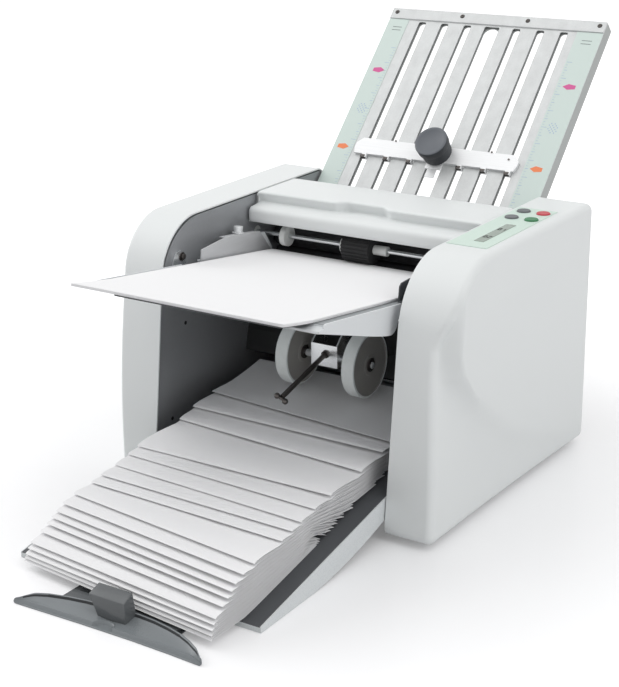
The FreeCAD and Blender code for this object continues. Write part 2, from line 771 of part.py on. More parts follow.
def drive_motor():
    """Motor outside the left side plate, standing off it on four posts."""
    x1 = MOTOR_FACE_X
    can = bar_x(x1 - MOTOR_FLANGE_T - MOTOR_LENGTH, x1 - MOTOR_FLANGE_T, MOTOR_Y, MOTOR_Z, MOTOR_R)
    reach = MOTOR_POST_R + MOTOR_FLANGE_MARGIN
    flange = block(x1 - MOTOR_FLANGE_T, x1,
                   MOTOR_Y - MOTOR_POST_Y - reach, MOTOR_Y + MOTOR_POST_Y + reach,
                   MOTOR_Z - MOTOR_POST_Z - reach, MOTOR_Z + MOTOR_POST_Z + reach)
    motor = can.fuse(flange)
    for y in (MOTOR_Y - MOTOR_POST_Y, MOTOR_Y + MOTOR_POST_Y):
        for z in (MOTOR_Z - MOTOR_POST_Z, MOTOR_Z + MOTOR_POST_Z):
            motor = motor.fuse(bar_x(x1 - MOTOR_FLANGE_T, FRAME_L_OUT, y, z, MOTOR_POST_R))
    socket = bar_x(x1 - 2 * MOTOR_FLANGE_T, x1 + EPS, MOTOR_Y, MOTOR_Z, MOTOR_SHAFT_R + RUN)
    return motor.cut(socket).removeSplitter()


# ================================================================ feed table
def table_corner(x, side):
    """What is cut off the table's front corner to round it."""
    r = TABLE_CORNER_R
    square = block(min(x, x - side * r), max(x, x - side * r), 0, r, -TABLE_T - EPS, EPS)
    disc = bar_z(x - side * r, r, -TABLE_T - 2 * EPS, 2 * EPS, r)
    return square.cut(disc)


def table_skirt(x0):
    """Side skirt that deepens towards the rear."""
    points = [(TABLE_CORNER_R, -EPS), (TABLE_CORNER_R, -SKIRT_FRONT_DEPTH),
              (SKIRT_DEEP_T, -SKIRT_REAR_DEPTH), (SKIRT_END_T, -SKIRT_REAR_DEPTH), (SKIRT_END_T, -EPS)]
    skirt = yz_prism(x0, x0 + SKIRT_T, points)
    rear = edges_at(skirt, lambda p: abs(p.y - SKIRT_END_T) < SEAT and abs(p.z + SKIRT_REAR_DEPTH) < SEAT)
    return skirt.makeFillet(SKIRT_R, rear)


def table_ear(x):
    """Lug under the table that hangs on the guide rail."""
    drop = RAIL_DROP * math.cos(math.radians(TABLE_TILT))
    t = (RAIL_Y - TABLE_FRONT_Y) * math.cos(math.radians(TABLE_TILT)) \
        + RAIL_DROP * math.sin(math.radians(TABLE_TILT)) \
        + (TABLE_FRONT_Z - table_z(RAIL_Y)) * math.sin(math.radians(TABLE_TILT))
    lug = block(x - EAR_T / 2, x + EAR_T / 2, t - 2 * BAR_R, t + 2 * BAR_R, -drop, -TABLE_T + EPS)
    return lug.fuse(bar_x(x - EAR_T / 2, x + EAR_T / 2, t, -drop, 2 * BAR_R))


def guide_slot(x0, x1):
    """Cross slot in the table for a guide's leg, above the rail."""
    y0 = RAIL_Y - GUIDE_LEG_D / 2 - GUIDE_SLOT_GAP
    y1 = RAIL_Y + GUIDE_LEG_D / 2 + GUIDE_SLOT_GAP
    z = table_z(RAIL_Y)
    return block(x0, x1, y0, y1, z - 3 * TABLE_T, z + 2 * TABLE_T)


def feed_table():
    """Sloping table for the sheets, hung on the rail and seated on the infeed plate."""
    slab = block(TABLE_LEFT, TABLE_RIGHT, 0, TABLE_LENGTH, -TABLE_T, 0)
    slab = cut(slab, table_corner(TABLE_LEFT, -1), table_corner(TABLE_RIGHT, 1))
    groove = block(TABLE_LEFT - EPS, TABLE_RIGHT + EPS, GROOVE_T, GROOVE_T + GROOVE_W, -GROOVE_DEPTH, EPS)
    table = join(slab.cut(groove), table_skirt(TABLE_LEFT), table_skirt(TABLE_RIGHT - SKIRT_T),
                 table_ear(PATH_X - EAR_SPREAD), table_ear(PATH_X + EAR_SPREAD))
    table = on_table(table)
    reach = GUIDE_LEG_W / 2 + EPS
    table = table.cut(guide_slot(LEFT_LEG_X - reach - GUIDE_OUT, LEFT_LEG_X + reach + GUIDE_IN))
    table = table.cut(guide_slot(RIGHT_LEG_X - reach - GUIDE_IN, RIGHT_LEG_X + reach + GUIDE_OUT))
    return table.cut(bar_x(TABLE_LEFT, TABLE_RIGHT, RAIL_Y, RAIL_Z, BAR_R + RUN))


def infeed_plate():
    """Dark plate that leads the sheets from the table to the first roller nip."""
    plate = block(FRAME_L, FRAME_R, TABLE_LENGTH, TABLE_LENGTH + INFEED_LENGTH, -TABLE_T, 0)
    pocket = block(PAD_X - PAD_W / 2, PAD_X + PAD_W / 2, PAD_T0, PAD_T1, -PAD_DEPTH, EPS)
    return on_table(plate.cut(pocket))



def separator_pad():
    """Friction pad under the feed roller."""
    return on_table(block(PAD_X - PAD_W / 2, PAD_X + PAD_W / 2, PAD_T0, PAD_T1, -PAD_DEPTH, 0))


def feed_sheets():
    """Sheets that wait on the table, their leading edge under the feed roller."""
    t0 = (SHEETS_FRONT_Y - TABLE_FRONT_Y) / math.cos(math.radians(TABLE_TILT))
    stack = block(PATH_X - A3_WIDTH / 2, PATH_X + A3_WIDTH / 2, t0, t0 + A3_LENGTH, SEAT, SEAT + SHEETS_T)
    upright = [e for e in stack.Edges if abs(e.Vertexes[0].Z - e.Vertexes[-1].Z) > SEAT]
    return on_table(stack.makeFillet(SHEET_CORNER_R, upright))


# ================================================================ paper guides
LEFT_GUIDE_X = PATH_X - A3_WIDTH / 2 - GUIDE_CLEAR
RIGHT_GUIDE_X = PATH_X + A3_WIDTH / 2 + GUIDE_CLEAR
LEFT_LEG_X = LEFT_GUIDE_X - GUIDE_T - GUIDE_LEG_W / 2 - GUIDE_LEG_GAP
RIGHT_LEG_X = RIGHT_GUIDE_X + GUIDE_T + GUIDE_LEG_W / 2 + GUIDE_LEG_GAP
LEFT_SCREW_X = LEFT_GUIDE_X - GUIDE_T - GUIDE_FOOT_W / 2
RIGHT_SCREW_X = RIGHT_GUIDE_X + GUIDE_T + GUIDE_FOOT_W / 2


def guide(face_x, side, profile, leg_x, screw_x, screw_t):
    """Side guide: upright plate, foot on the table and a leg that rides on the rail."""
    back_x = face_x + side * GUIDE_T
    foot_x = back_x + side * GUIDE_FOOT_W
    x0, x1 = sorted((face_x, back_x))
    plate = yz_prism(x0, x1, profile)
    x0, x1 = sorted((face_x, foot_x))
    foot = block(x0, x1, profile[0][0], TABLE_LENGTH - GUIDE_REAR_GAP, SEAT, SEAT + GUIDE_T)
    hole = bar_z(screw_x, screw_t, -EPS, 3 * GUIDE_T, SCREW_STEM_R + RUN)
    body = on_table(join(plate, foot).cut(hole))
    leg = block(leg_x - GUIDE_LEG_W / 2, leg_x + GUIDE_LEG_W / 2,
                RAIL_Y - GUIDE_LEG_D / 2, RAIL_Y + GUIDE_LEG_D / 2, RAIL_Z, table_z(RAIL_Y) + GUIDE_T)
    hub = bar_x(leg_x - GUIDE_LEG_W / 2, leg_x + GUIDE_LEG_W / 2, RAIL_Y, RAIL_Z, GUIDE_HUB_R)
    bore = bar_x(leg_x - GUIDE_LEG_W, leg_x + GUIDE_LEG_W, RAIL_Y, RAIL_Z, BAR_R + RUN)
    return join(body, leg, hub).cut(bore)


def left_guide():
    """Pale guide at the sheets' left edge."""
    t0, t1 = LEFT_GUIDE_T0, LEFT_GUIDE_T1
    profile = [(t0, SEAT), (t0, LEFT_GUIDE_FRONT_H), (t0 + LEFT_GUIDE_RAMP, LEFT_GUIDE_H),
               (t1 - GUIDE_REAR_RAMP, LEFT_GUIDE_H), (t1, LEFT_GUIDE_FRONT_H / 3), (t1, SEAT)]
    return guide(LEFT_GUIDE_X, -1, profile, LEFT_LEG_X, LEFT_SCREW_X, LEFT_SCREW_T)


def right_guide():
    """Dark guide at the sheets' right edge."""
    t0, t1 = RIGHT_GUIDE_T0, LEFT_GUIDE_T1
    profile = [(t0, SEAT), (t0, RIGHT_GUIDE_FRONT_H), (t0 + RIGHT_GUIDE_RAMP, RIGHT_GUIDE_H),
               (t1 - GUIDE_REAR_RAMP, RIGHT_GUIDE_H), (t1, LEFT_GUIDE_FRONT_H / 3), (t1, SEAT)]
    return guide(RIGHT_GUIDE_X, 1, profile, RIGHT_LEG_X, RIGHT_SCREW_X, RIGHT_SCREW_T)


def thumb_screw(x, t, height, head_r, head_h):
    """Screw with a round head, its stem through the guide's foot."""
    stem = bar_z(x, t, 2 * SEAT, height, SCREW_STEM_R)
    collar = bar_z(x, t, 2 * SEAT + GUIDE_T, 2 * GUIDE_T + SEAT, SCREW_COLLAR_R)
    return on_table(join(stem, collar, bar_z(x, t, height - head_h, height, head_r)))


def left_guide_screw():
    """Tall clamp screw of the left guide."""
    return thumb_screw(LEFT_SCREW_X, LEFT_SCREW_T, LEFT_SCREW_H, LEFT_HEAD_R, LEFT_HEAD_H)


def right_guide_screw():
    """Low clamp screw of the right guide."""
    return thumb_screw(RIGHT_SCREW_X, RIGHT_SCREW_T, RIGHT_SCREW_H, RIGHT_HEAD_R, RIGHT_HEAD_H)


# ================================================================ feed shaft
def feed_shaft():
    """Bright shaft across the paper path."""
    return bar_x(SHAFT_LEFT_X, SHAFT_RIGHT_X, FEED_Y, FEED_Z, FEED_SHAFT_R)


def shaft_ring(x0, x1, r):
    """Round piece on the feed shaft."""
    ring = bar_x(x0, x1, FEED_Y, FEED_Z, r)
    return ring.cut(bar_x(x0 - EPS, x1 + EPS, FEED_Y, FEED_Z, FEED_SHAFT_R))


def feed_roller():
    """Rubber roller with grooves along it."""
    roller = shaft_ring(FEED_ROLLER_X0, FEED_ROLLER_X1, FEED_ROLLER_R)
    for k in range(FEED_RIBS):
        angle = 2 * math.pi * (k + 0.5) / FEED_RIBS
        y = FEED_Y + FEED_ROLLER_R * math.cos(angle)
        z = FEED_Z + FEED_ROLLER_R * math.sin(angle)
        roller = roller.cut(bar_x(FEED_ROLLER_X0 - EPS, FEED_ROLLER_X1 + EPS, y, z, FEED_RIB_DEPTH))
    return roller


def feed_collars():
    """Pale hub disc and collar at the ends of the feed roller."""
    disc = shaft_ring(FEED_ROLLER_X0 - HUB_DISC_W, FEED_ROLLER_X0, HUB_DISC_R)
    return group(disc, shaft_ring(FEED_ROLLER_X1, FEED_ROLLER_X1 + COLLAR_W, COLLAR_R))


def feed_wheel():
    """Pale wheel near the shaft's left end."""
    return shaft_ring(FEED_WHEEL_X - FEED_WHEEL_W / 2, FEED_WHEEL_X + FEED_WHEEL_W / 2, FEED_WHEEL_R)


# ================================================================ top cover
def cover_outer():
    """Side profile of the top cover: lip, shelf, riser that leans forward, flat top."""
    shelf_z = COVER_LIP_Z + SHELF_RISE
    riser_y = COVER_LIP_Y + SHELF_RUN
    t = TOP_COVER_T
    return [(COVER_LIP_Y, COVER_LIP_Z), (COVER_LIP_Y, shelf_z - LIP_CURVE_Z - EPS),
            (COVER_LIP_Y + LIP_CURVE_Y, shelf_z - EPS), (riser_y, shelf_z + SHELF_SLOPE),
            (riser_y - RISER_LEAN, TOP_Z - t), (riser_y - RISER_LEAN + t, TOP_Z),
            (COVER_REAR_Y, TOP_Z), (COVER_REAR_Y, COVER_REAR_Z)]


def cover_inner():
    """Profile of the hollow under the top cover."""
    shelf_z = COVER_LIP_Z + SHELF_RISE
    riser_y = COVER_LIP_Y + SHELF_RUN
    t = TOP_COVER_T
    return [(COVER_LIP_Y + t, COVER_LIP_Z - EPS), (COVER_LIP_Y + t, shelf_z - LIP_CURVE_Z - EPS),
            (COVER_LIP_Y + t + LIP_CURVE_Y, shelf_z - EPS - t), (riser_y + t, shelf_z + SHELF_SLOPE - t),
            (riser_y + t + EPS, TOP_Z - t), (COVER_REAR_Y - t, TOP_Z - t),
            (COVER_REAR_Y - t, COVER_REAR_Z - EPS)]


def top_cover():
    """Stepped cover over the rollers, with pins that turn in the side plates."""
    x0, x1 = LEFT_IN + PANEL_GAP, RIGHT_IN - PANEL_GAP
    t = TOP_COVER_T
    shell = yz_prism(x0, x1, cover_outer()).cut(yz_prism(x0 + t, x1 - t, cover_inner()))
    floor_z = COVER_LIP_Z + SHELF_RISE + SHELF_SLOPE
    riser_y = COVER_LIP_Y + SHELF_RUN
    back_y = riser_y - RISER_LEAN + RECESS_DEPTH
    half = RECESS_W / 2
    recess = block(RECESS_X - half, RECESS_X + half, riser_y - RISER_LEAN - EPS, back_y,
                   floor_z, TOP_Z + EPS)
    lining = block(RECESS_X - half - t, RECESS_X + half + t, riser_y - EPS, back_y + t, floor_z - t, TOP_Z)
    shell = shell.fuse(lining).cut(recess)
    for px0, px1 in ((FRAME_L_OUT, x0 + EPS), (x1 - EPS, FRAME_R_OUT)):
        shell = shell.fuse(bar_x(px0, px1, COVER_PIN_Y, COVER_PIN_Z, COVER_PIN_R))
    return shell.removeSplitter()


# ================================================================ upper fold plate
PLATE_L = LEFT_IN + PLATE_SIDE_GAP
PLATE_R = RIGHT_IN - PLATE_SIDE_GAP


def slot_centres():
    """Middle of each narrow slot."""
    offsets = [SLOT_FIRST + SLOT_STEP * k for k in range(SLOTS_PER_SIDE)]
    return [PLATE_X - d for d in offsets] + [PLATE_X + d for d in offsets]


def slot_tool(x, width, low, high):
    """Long slot with round ends, cut from low to high off the plate."""
    r = width / 2
    box = block(x - r, x + r, SLOT_BOTTOM_V + r, SLOT_TOP_V - r, low, high)
    ends = [bar_z(x, v, low, high, r) for v in (SLOT_BOTTOM_V + r, SLOT_TOP_V - r)]
    return box.fuse(ends[0]).fuse(ends[1])


def slotted(sheet, low, high):
    """Sheet with the narrow slots and the wide middle one."""
    for x in slot_centres():
        sheet = sheet.cut(slot_tool(x, SLOT_W, low, high))
    return sheet.cut(slot_tool(PLATE_X, SLOT_CENTRE_W, low, high))


def upper_fold_plate():
    """Front sheet of the fold plate, slotted for the stop's teeth and the knob."""
    plate = block(PLATE_L, PLATE_R, PLATE_V0, PLATE_V1, -PLATE_T, 0)
    return on_upper_plate(slotted(plate, -PLATE_T - EPS, EPS))


def upper_plate_pan():
    """Rear sheet of the fold plate, slotted alike, with folded sides and studs that seat in the machine."""
    w0 = -PLATE_T - PAPER_GAP
    pan = slotted(block(PLATE_L, PLATE_R, PLATE_V0, PLATE_V1, w0 - PLATE_T, w0), w0 - PLATE_T - EPS, w0 + EPS)
    for x in (PLATE_L, PLATE_R - PLATE_T):
        pan = pan.fuse(block(x, x + PLATE_T, PLATE_V0, PLATE_V1, -PAN_DEPTH, -PLATE_T))
    pan = pan.fuse(block(PLATE_L, PLATE_R, PLATE_V1 - PLATE_T, PLATE_V1, -PAN_DEPTH, -PLATE_T))
    for v in (STUD_LOW_V, STUD_HIGH_V):
        for x0, x1 in ((FRAME_L, PLATE_L + PLATE_T), (PLATE_R - PLATE_T, FRAME_R)):
            pan = pan.fuse(bar_x(x0, x1, v, -PAN_DEPTH / 2, STUD_R))
    return on_upper_plate(pan.removeSplitter())


def plate_top_rail():
    """Bright strip across the plate's upper end."""
    rail = block(PLATE_L, PLATE_R, TOP_RAIL_V, PLATE_V1, 0, TOP_RAIL_T)
    for d in SCREW_SPREAD:
        rail = rail.cut(bar_z(PLATE_X + d, SCREW_V, -EPS, TOP_RAIL_T + EPS, SCREW_SHANK_R + RUN))
    return on_upper_plate(rail)


def plate_screws():
    """Screws that hold the top rail."""
    screws = []
    for d in SCREW_SPREAD:
        shank = bar_z(PLATE_X + d, SCREW_V, 0, TOP_RAIL_T + EPS, SCREW_SHANK_R)
        head = bar_z(PLATE_X + d, SCREW_V, TOP_RAIL_T, TOP_RAIL_T + SCREW_HEAD_T, SCREW_HEAD_R)
        screws.append(on_upper_plate(join(shank, head)))
    return group(*screws)


def ruler_strips():
    """Scale strips along both sides of the plate."""
    left = block(PLATE_L, PLATE_L + RULER_W, SLOT_BOTTOM_V, TOP_RAIL_V, 0, RULER_T)
    right = block(PLATE_R - RULER_RIGHT_W, PLATE_R, SLOT_BOTTOM_V, TOP_RAIL_V, 0, RULER_T)
    return group(on_upper_plate(left), on_upper_plate(right))


def fold_stop_bar():
    """Sliding stop: a bar across the plate with a tooth hooked through each slot."""
    c = STOP_CHAMFER
    outline = [(STOP_X0, STOP_V0 + c), (STOP_X0 + c / 3, STOP_V0), (STOP_X1 - c / 3, STOP_V0),
               (STOP_X1, STOP_V0 + c), (STOP_X1, STOP_V1 - c), (STOP_X1 - c, STOP_V1),
               (STOP_X0 + c, STOP_V1), (STOP_X0, STOP_V1 - c)]
    bar = xy_prism(SEAT, SEAT + STOP_T, outline)
    depth = -PLATE_T - PAPER_GAP / 2
    for x in slot_centres():
        drop = block(x - TOOTH_W / 2, x + TOOTH_W / 2, STOP_V0 - TOOTH_DROP, STOP_V0 + EPS,
                     depth, SEAT + STOP_T)
        bar = bar.fuse(drop)
    bar = bar.removeSplitter()
    return on_upper_plate(bar.cut(bar_z(PLATE_X, KNOB_V, 0, 2 * STOP_T, KNOB_STEM_R + RUN)))


def fold_knob():
    """Round clamp knob with a wider cap; its stem passes the bar into the middle slot."""
    base = SEAT + STOP_T + SEAT
    foot = bar_z(PLATE_X, KNOB_V, base, base + KNOB_H, KNOB_BASE_R)
    cap = bar_z(PLATE_X, KNOB_V, base + KNOB_H - KNOB_CAP_H, base + KNOB_H, KNOB_CAP_R)
    cap = cap.makeFillet(KNOB_CAP_EDGE_R, edges_at(cap, lambda p: p.z > base + KNOB_H - SEAT))
    stem = bar_z(PLATE_X, KNOB_V, -PLATE_T - PAPER_GAP / 2, base + EPS, KNOB_STEM_R)
    return on_upper_plate(join(foot, cap, stem))


# ================================================================ lower fold plate
def lower_fold_plate():
    """Flat pocket behind the rollers: two sheets on side strips, slotted for the stop."""
    depth = 2 * PLATE_T + PAPER_GAP
    plate = block(FRAME_L, FRAME_R, 0, LOWER_LENGTH, -depth, 0)
    pocket = block(FRAME_L + POCKET_SIDE, FRAME_R - POCKET_SIDE, -EPS, LOWER_LENGTH - POCKET_END,
                   -PLATE_T - PAPER_GAP, -PLATE_T)
    plate = plate.cut(pocket)
    for x in (PATH_X - LOWER_SLOT_X, PATH_X, PATH_X + LOWER_SLOT_X):
        r = LOWER_SLOT_W / 2
        plate = plate.cut(block(x - r, x + r, LOWER_SLOT_S0, LOWER_SLOT_S1, -PLATE_T - EPS, EPS))
    return on_lower_plate(plate)


def lower_fold_stop():
    """Stop bar of the lower plate, with its teeth and clamp knob."""
    half = LOWER_STOP_LENGTH / 2
    bar = block(PATH_X - half, PATH_X + half, LOWER_STOP_S, LOWER_STOP_S + LOWER_STOP_W, SEAT, SEAT + STOP_T)
    r = LOWER_SLOT_W / 2 - LOWER_TOOTH_GAP
    for x in (PATH_X - LOWER_SLOT_X, PATH_X + LOWER_SLOT_X):
        bar = bar.fuse(block(x - r, x + r, LOWER_STOP_S, LOWER_STOP_S + LOWER_STOP_W,
                             -PLATE_T - PAPER_GAP / 2, SEAT + EPS))
    middle = LOWER_STOP_S + LOWER_STOP_W / 2
    knob = bar_z(PATH_X, middle, STOP_T, STOP_T + LOWER_KNOB_H, LOWER_KNOB_R)
    return on_lower_plate(join(bar, knob))


def exit_chute():
    """Sheet that leads folded work from the rollers down to the tray."""
    path = [(ROLLER_2_Y - ROLLER_R - CHUTE_NIP_GAP, ROLLER_2_Z - PITCH_R - 2 * CHUTE_NIP_GAP),
            (CHUTE_BEND_Y, CHUTE_BEND_Z), (CHUTE_DROP_Y, CHUTE_DROP_Z), (CHUTE_END_Y, CHUTE_END_Z)]
    under = [(y + CHUTE_T, z - CHUTE_T) for y, z in path]
    return yz_prism(FRAME_L, FRAME_R, path + under[::-1])


# ================================================================ delivery wheels
def wheel_bracket():
    """Bright bracket that hangs on the carrier bar, with the wheels' axle riveted in it."""
    low = WHEEL_Z - BRACKET_WEB_LOW
    high = low + BRACKET_WEB_H
    side = BRACKET_REACH
    cheek = [(BRACKET_WEB_Y, low), (WHEEL_Y + side, WHEEL_Z - side),
             (CARRIER_Y + side, CARRIER_Z - side / 2), (CARRIER_Y, CARRIER_Z + BRACKET_HEAD),
             (CARRIER_Y - side, CARRIER_Z + side / 2), (BRACKET_WEB_Y, high)]
    solids = [yz_prism(x, x + BRACKET_T, cheek) for x in (BRACKET_X0, BRACKET_X1 - BRACKET_T)]
    web = block(BRACKET_X0, BRACKET_X1, BRACKET_WEB_Y, BRACKET_WEB_Y + BRACKET_T, low, high)
    bracket = join(web, *solids)
    bracket = bracket.cut(bar_x(BRACKET_X0 - EPS, BRACKET_X1 + EPS, CARRIER_Y, CARRIER_Z, BAR_R + RUN))
    reach = WHEEL_SPREAD + WHEEL_W / 2 + AXLE_PROUD
    return join(bracket, bar_x(WHEEL_X - reach, WHEEL_X + reach, WHEEL_Y, WHEEL_Z, AXLE_R))


def delivery_wheel(x):
    """Wheel with a broad rim, a thin web and a hub."""
    rim = bar_x(x - WHEEL_W / 2, x + WHEEL_W / 2, WHEEL_Y, WHEEL_Z, WHEEL_R)
    rim = rim.makeFillet(WHEEL_EDGE_R, edges_at(rim, lambda p: abs(abs(p.x - x) - WHEEL_W / 2) < SEAT))
    for x0, x1 in ((x - WHEEL_W, x - WHEEL_WEB_T / 2), (x + WHEEL_WEB_T / 2, x + WHEEL_W)):
        dish = bar_x(x0, x1, WHEEL_Y, WHEEL_Z, WHEEL_R - WHEEL_RIM_T)
        rim = rim.cut(dish.cut(bar_x(x0, x1, WHEEL_Y, WHEEL_Z, WHEEL_HUB_R)))
    return rim.cut(bar_x(x - WHEEL_W, x + WHEEL_W, WHEEL_Y, WHEEL_Z, AXLE_R + RUN))


def stacker_wheels():
    """The pair of wheels that rest on the folded work."""
    return group(delivery_wheel(WHEEL_X - WHEEL_SPREAD), delivery_wheel(WHEEL_X + WHEEL_SPREAD))


def bracket_handle():
    """Dark rod with a forked, ball-ended tip, for lifting the wheels."""
    x = (BRACKET_X0 + BRACKET_X1) / 2
    root = V(x, BRACKET_WEB_Y, WHEEL_Z + HANDLE_RISE)
    tip = V(x, HANDLE_TIP_Y, HANDLE_TIP_Z)
    along = tip - root
    rod = Part.makeCylinder(HANDLE_R, along.Length, root, along)
    rod = rod.cut(block(x - 2 * HANDLE_R, x + 2 * HANDLE_R, BRACKET_WEB_Y, BRACKET_WEB_Y + 2 * HANDLE_R,
                        root.z - 2 * HANDLE_R, root.z + 2 * HANDLE_R))
    for side in (-1, 1):
        end = tip + V(side * FORK_SPREAD, -FORK_SPREAD, -FORK_SPREAD / 3)
        reach = end - tip
        rod = rod.fuse(Part.makeCylinder(HANDLE_R, reach.Length, tip, reach))
        rod = rod.fuse(Part.makeSphere(FORK_BALL_R, end))
    return rod.removeSplitter()


# ================================================================ delivery tray and stop
TRAY_X0 = LEFT_IN + TRAY_SIDE_GAP
TRAY_X1 = RIGHT_IN - TRAY_SIDE_GAP


def tray_side_outline():
    """Side outline of the tray: flat foot, bowed rise, straight sloping top."""
    floor = SEAT
    front = V(0, TRAY_FRONT_Y, floor)
    flat_end = V(0, TRAY_FLAT_END_Y, floor)
    rise = V(0, TRAY_RISE_Y, TRAY_RISE_Z)
    middle = V(0, (TRAY_FLAT_END_Y + TRAY_RISE_Y) / 2, TRAY_RISE_Z / 2 - TRAY_BOW)
    rear = V(0, TRAY_REAR_Y, TRAY_REAR_Z)
    rear_top = V(0, TRAY_REAR_Y, tray_top(TRAY_REAR_Y))
    front_top = V(0, TRAY_FRONT_Y, TRAY_LIP_H)
    return Part.Wire([
        Part.makeLine(front, flat_end),
        Part.Arc(flat_end, middle, rise).toShape(),
        Part.makeLine(rise, rear),
        Part.makeLine(rear, rear_top),
        Part.makeLine(rear_top, front_top),
        Part.makeLine(front_top, front),
    ])


def delivery_tray():
    """Wedge-shaped tray, hollow below, with a notch at the front for the stop's strip."""
    face = Part.Face(tray_side_outline())
    face.translate(V(TRAY_X0, 0, 0))
    tray = face.extrude(V(TRAY_X1 - TRAY_X0, 0, 0))
    y0 = TRAY_FRONT_Y + TRAY_SIDE_T
    y1 = TRAY_REAR_Y - TRAY_SIDE_T
    under = yz_prism(TRAY_X0 + TRAY_SIDE_T, TRAY_X1 - TRAY_SIDE_T,
                     [(y0, -EPS), (y1, -EPS), (y1, tray_top(y1) - TRAY_TOP_T),
                      (y0, tray_top(y0) - TRAY_TOP_T)])
    notch = block(STOP_STRIP_X - STOP_STRIP_W / 2 - EPS, STOP_STRIP_X + STOP_STRIP_W / 2 + EPS,
                  TRAY_FRONT_Y - EPS, y0 + EPS, -EPS, STOP_STRIP_T + 3 * SEAT)
    bed = yz_prism(TRAY_X0 + MAT_MARGIN, TRAY_X1 - MAT_MARGIN,
                   [(TRAY_FRONT_Y - EPS, tray_top(TRAY_FRONT_Y - EPS) - MAT_T),
                    (TRAY_REAR_Y + EPS, tray_top(TRAY_REAR_Y + EPS) - MAT_T),
                    (TRAY_REAR_Y + EPS, tray_top(TRAY_REAR_Y + EPS) + EPS),
                    (TRAY_FRONT_Y - EPS, tray_top(TRAY_FRONT_Y - EPS) + EPS)])
    return cut(tray, under, notch, bed)


def tray_mat():
    """Dark sheet let into the tray's upper face."""
    return yz_prism(TRAY_X0 + MAT_MARGIN, TRAY_X1 - MAT_MARGIN,
                    [(TRAY_FRONT_Y, tray_top(TRAY_FRONT_Y) - MAT_T),
                     (TRAY_REAR_Y, tray_top(TRAY_REAR_Y) - MAT_T),
                     (TRAY_REAR_Y, tray_top(TRAY_REAR_Y)), (TRAY_FRONT_Y, tray_top(TRAY_FRONT_Y))])


def wing_face(margin):
    """Plan of the wing: straight front, bowed rear."""
    half = WING_HALF - 2 * margin
    left = V(WING_X - half, WING_FRONT_Y + margin, 0)
    right = V(WING_X + half, WING_FRONT_Y + margin, 0)
    rear = V(WING_X, WING_REAR_Y - margin, 0)
    return Part.Face(Part.Wire([Part.Arc(left, rear, right).toShape(), Part.makeLine(right, left)]))


def wing_stop():
    """Crescent-shaped stop with a dished top, its block, and the strip it slides on."""
    base = SEAT
    wing = wing_face(0)
    wing.translate(V(0, 0, base))
    wing = wing.extrude(V(0, 0, WING_H))
    dish = wing_face(WING_RIM_T)
    dish.translate(V(0, -WING_RIM_T, base + WING_FLOOR_T))
    wing = wing.cut(dish.extrude(V(0, 0, WING_H)))
    notch = bar_z(BLOCK_X - WING_NOTCH_SHIFT, WING_FRONT_Y - WING_NOTCH_SHIFT, -EPS, WING_H + 2 * EPS,
                  WING_NOTCH_R)
    pillar = block(BLOCK_X - BLOCK_W / 2, BLOCK_X + BLOCK_W / 2, BLOCK_FRONT_Y, BLOCK_REAR_Y,
                   base + EPS, BLOCK_H)
    pillar = pillar.makeFillet(BLOCK_EDGE_R, edges_at(pillar, lambda p: p.z > BLOCK_H - SEAT))
    strip = block(STOP_STRIP_X - STOP_STRIP_W / 2, STOP_STRIP_X + STOP_STRIP_W / 2,
                  WING_REAR_Y - STOP_STRIP_ROOT, STOP_STRIP_REAR_Y, base, base + STOP_STRIP_T)
    return join(wing.cut(notch), pillar, strip)


def folded_sheets():
    """Folded work lying like shingles on the tray, as one body of paper."""
    gap = SEAT
    bottom_z = tray_top(TRAY_FRONT_Y) + gap
    points = [V(0, STACK_FRONT_Y, bottom_z), V(0, TRAY_FRONT_Y, bottom_z),
              V(0, STACK_REAR_Y, tray_top(TRAY_REAR_Y) + STACK_TAIL_T)]
    front = V(0, STACK_FRONT_Y, bottom_z + STACK_NOSE_T)
    brow = V(0, STACK_BROW_Y, STACK_BROW_Z)
    shoulder = V(0, (STACK_FRONT_Y + STACK_BROW_Y) / 2 - STACK_SWELL,
                 (bottom_z + STACK_BROW_Z) / 2 + STACK_SWELL * 3 / 4)
    top = V(0, STACK_TOP_Y, STACK_TOP_Z)
    rear = V(0, STACK_REAR_Y, STACK_TOP_Z)
    wire = Part.Wire([
        Part.makeLine(points[0], points[1]),
        Part.makeLine(points[1], points[2]),
        Part.makeLine(points[2], rear),
        Part.makeLine(rear, top),
        Part.makeLine(top, brow),
        Part.Arc(brow, shoulder, front).toShape(),
        Part.makeLine(front, points[0]),
    ])
    face = Part.Face(wire)
    face.translate(V(PATH_X - A3_WIDTH / 2, 0, 0))
    return face.extrude(V(A3_WIDTH, 0, 0))


# ================================================================ controls
BUTTON_PLACES = {
    "minus_button": (BUTTON_LEFT_X, BUTTON_FRONT_Y),
    "plus_button": (BUTTON_LEFT_X, BUTTON_REAR_Y),
    "start_button": (BUTTON_RIGHT_X, BUTTON_FRONT_Y),
    "stop_button": (BUTTON_RIGHT_X, BUTTON_REAR_Y),
}


def keypad_panel():
    """Thin pale-green overlay on the right cover."""
    panel = block(PANEL_X0, PANEL_X1, PANEL_Y0, PANEL_Y1, TOP_Z, TOP_Z + PANEL_T)
    for x, y in BUTTON_PLACES.values():
        panel = panel.cut(bar_z(x, y, TOP_Z - EPS, TOP_Z + PANEL_T + EPS, BUTTON_R + SEAT))
    return panel


def display_window():
    """Grey-green window of the counter."""
    z0 = TOP_Z + PANEL_T
    return block(WINDOW_X - WINDOW_W / 2, WINDOW_X + WINDOW_W / 2, WINDOW_Y0, WINDOW_Y1, z0, z0 + WINDOW_T)


def push_button(name):
    """Round button through the cover, above its switch on the board."""
    x, y = BUTTON_PLACES[name]
    top = TOP_Z + PANEL_T + BUTTON_PROUD
    cap = bar_z(x, y, top - BUTTON_LENGTH, top, BUTTON_R)
    return cap.makeFillet(BUTTON_EDGE_R, edges_at(cap, lambda p: p.z > top - SEAT))


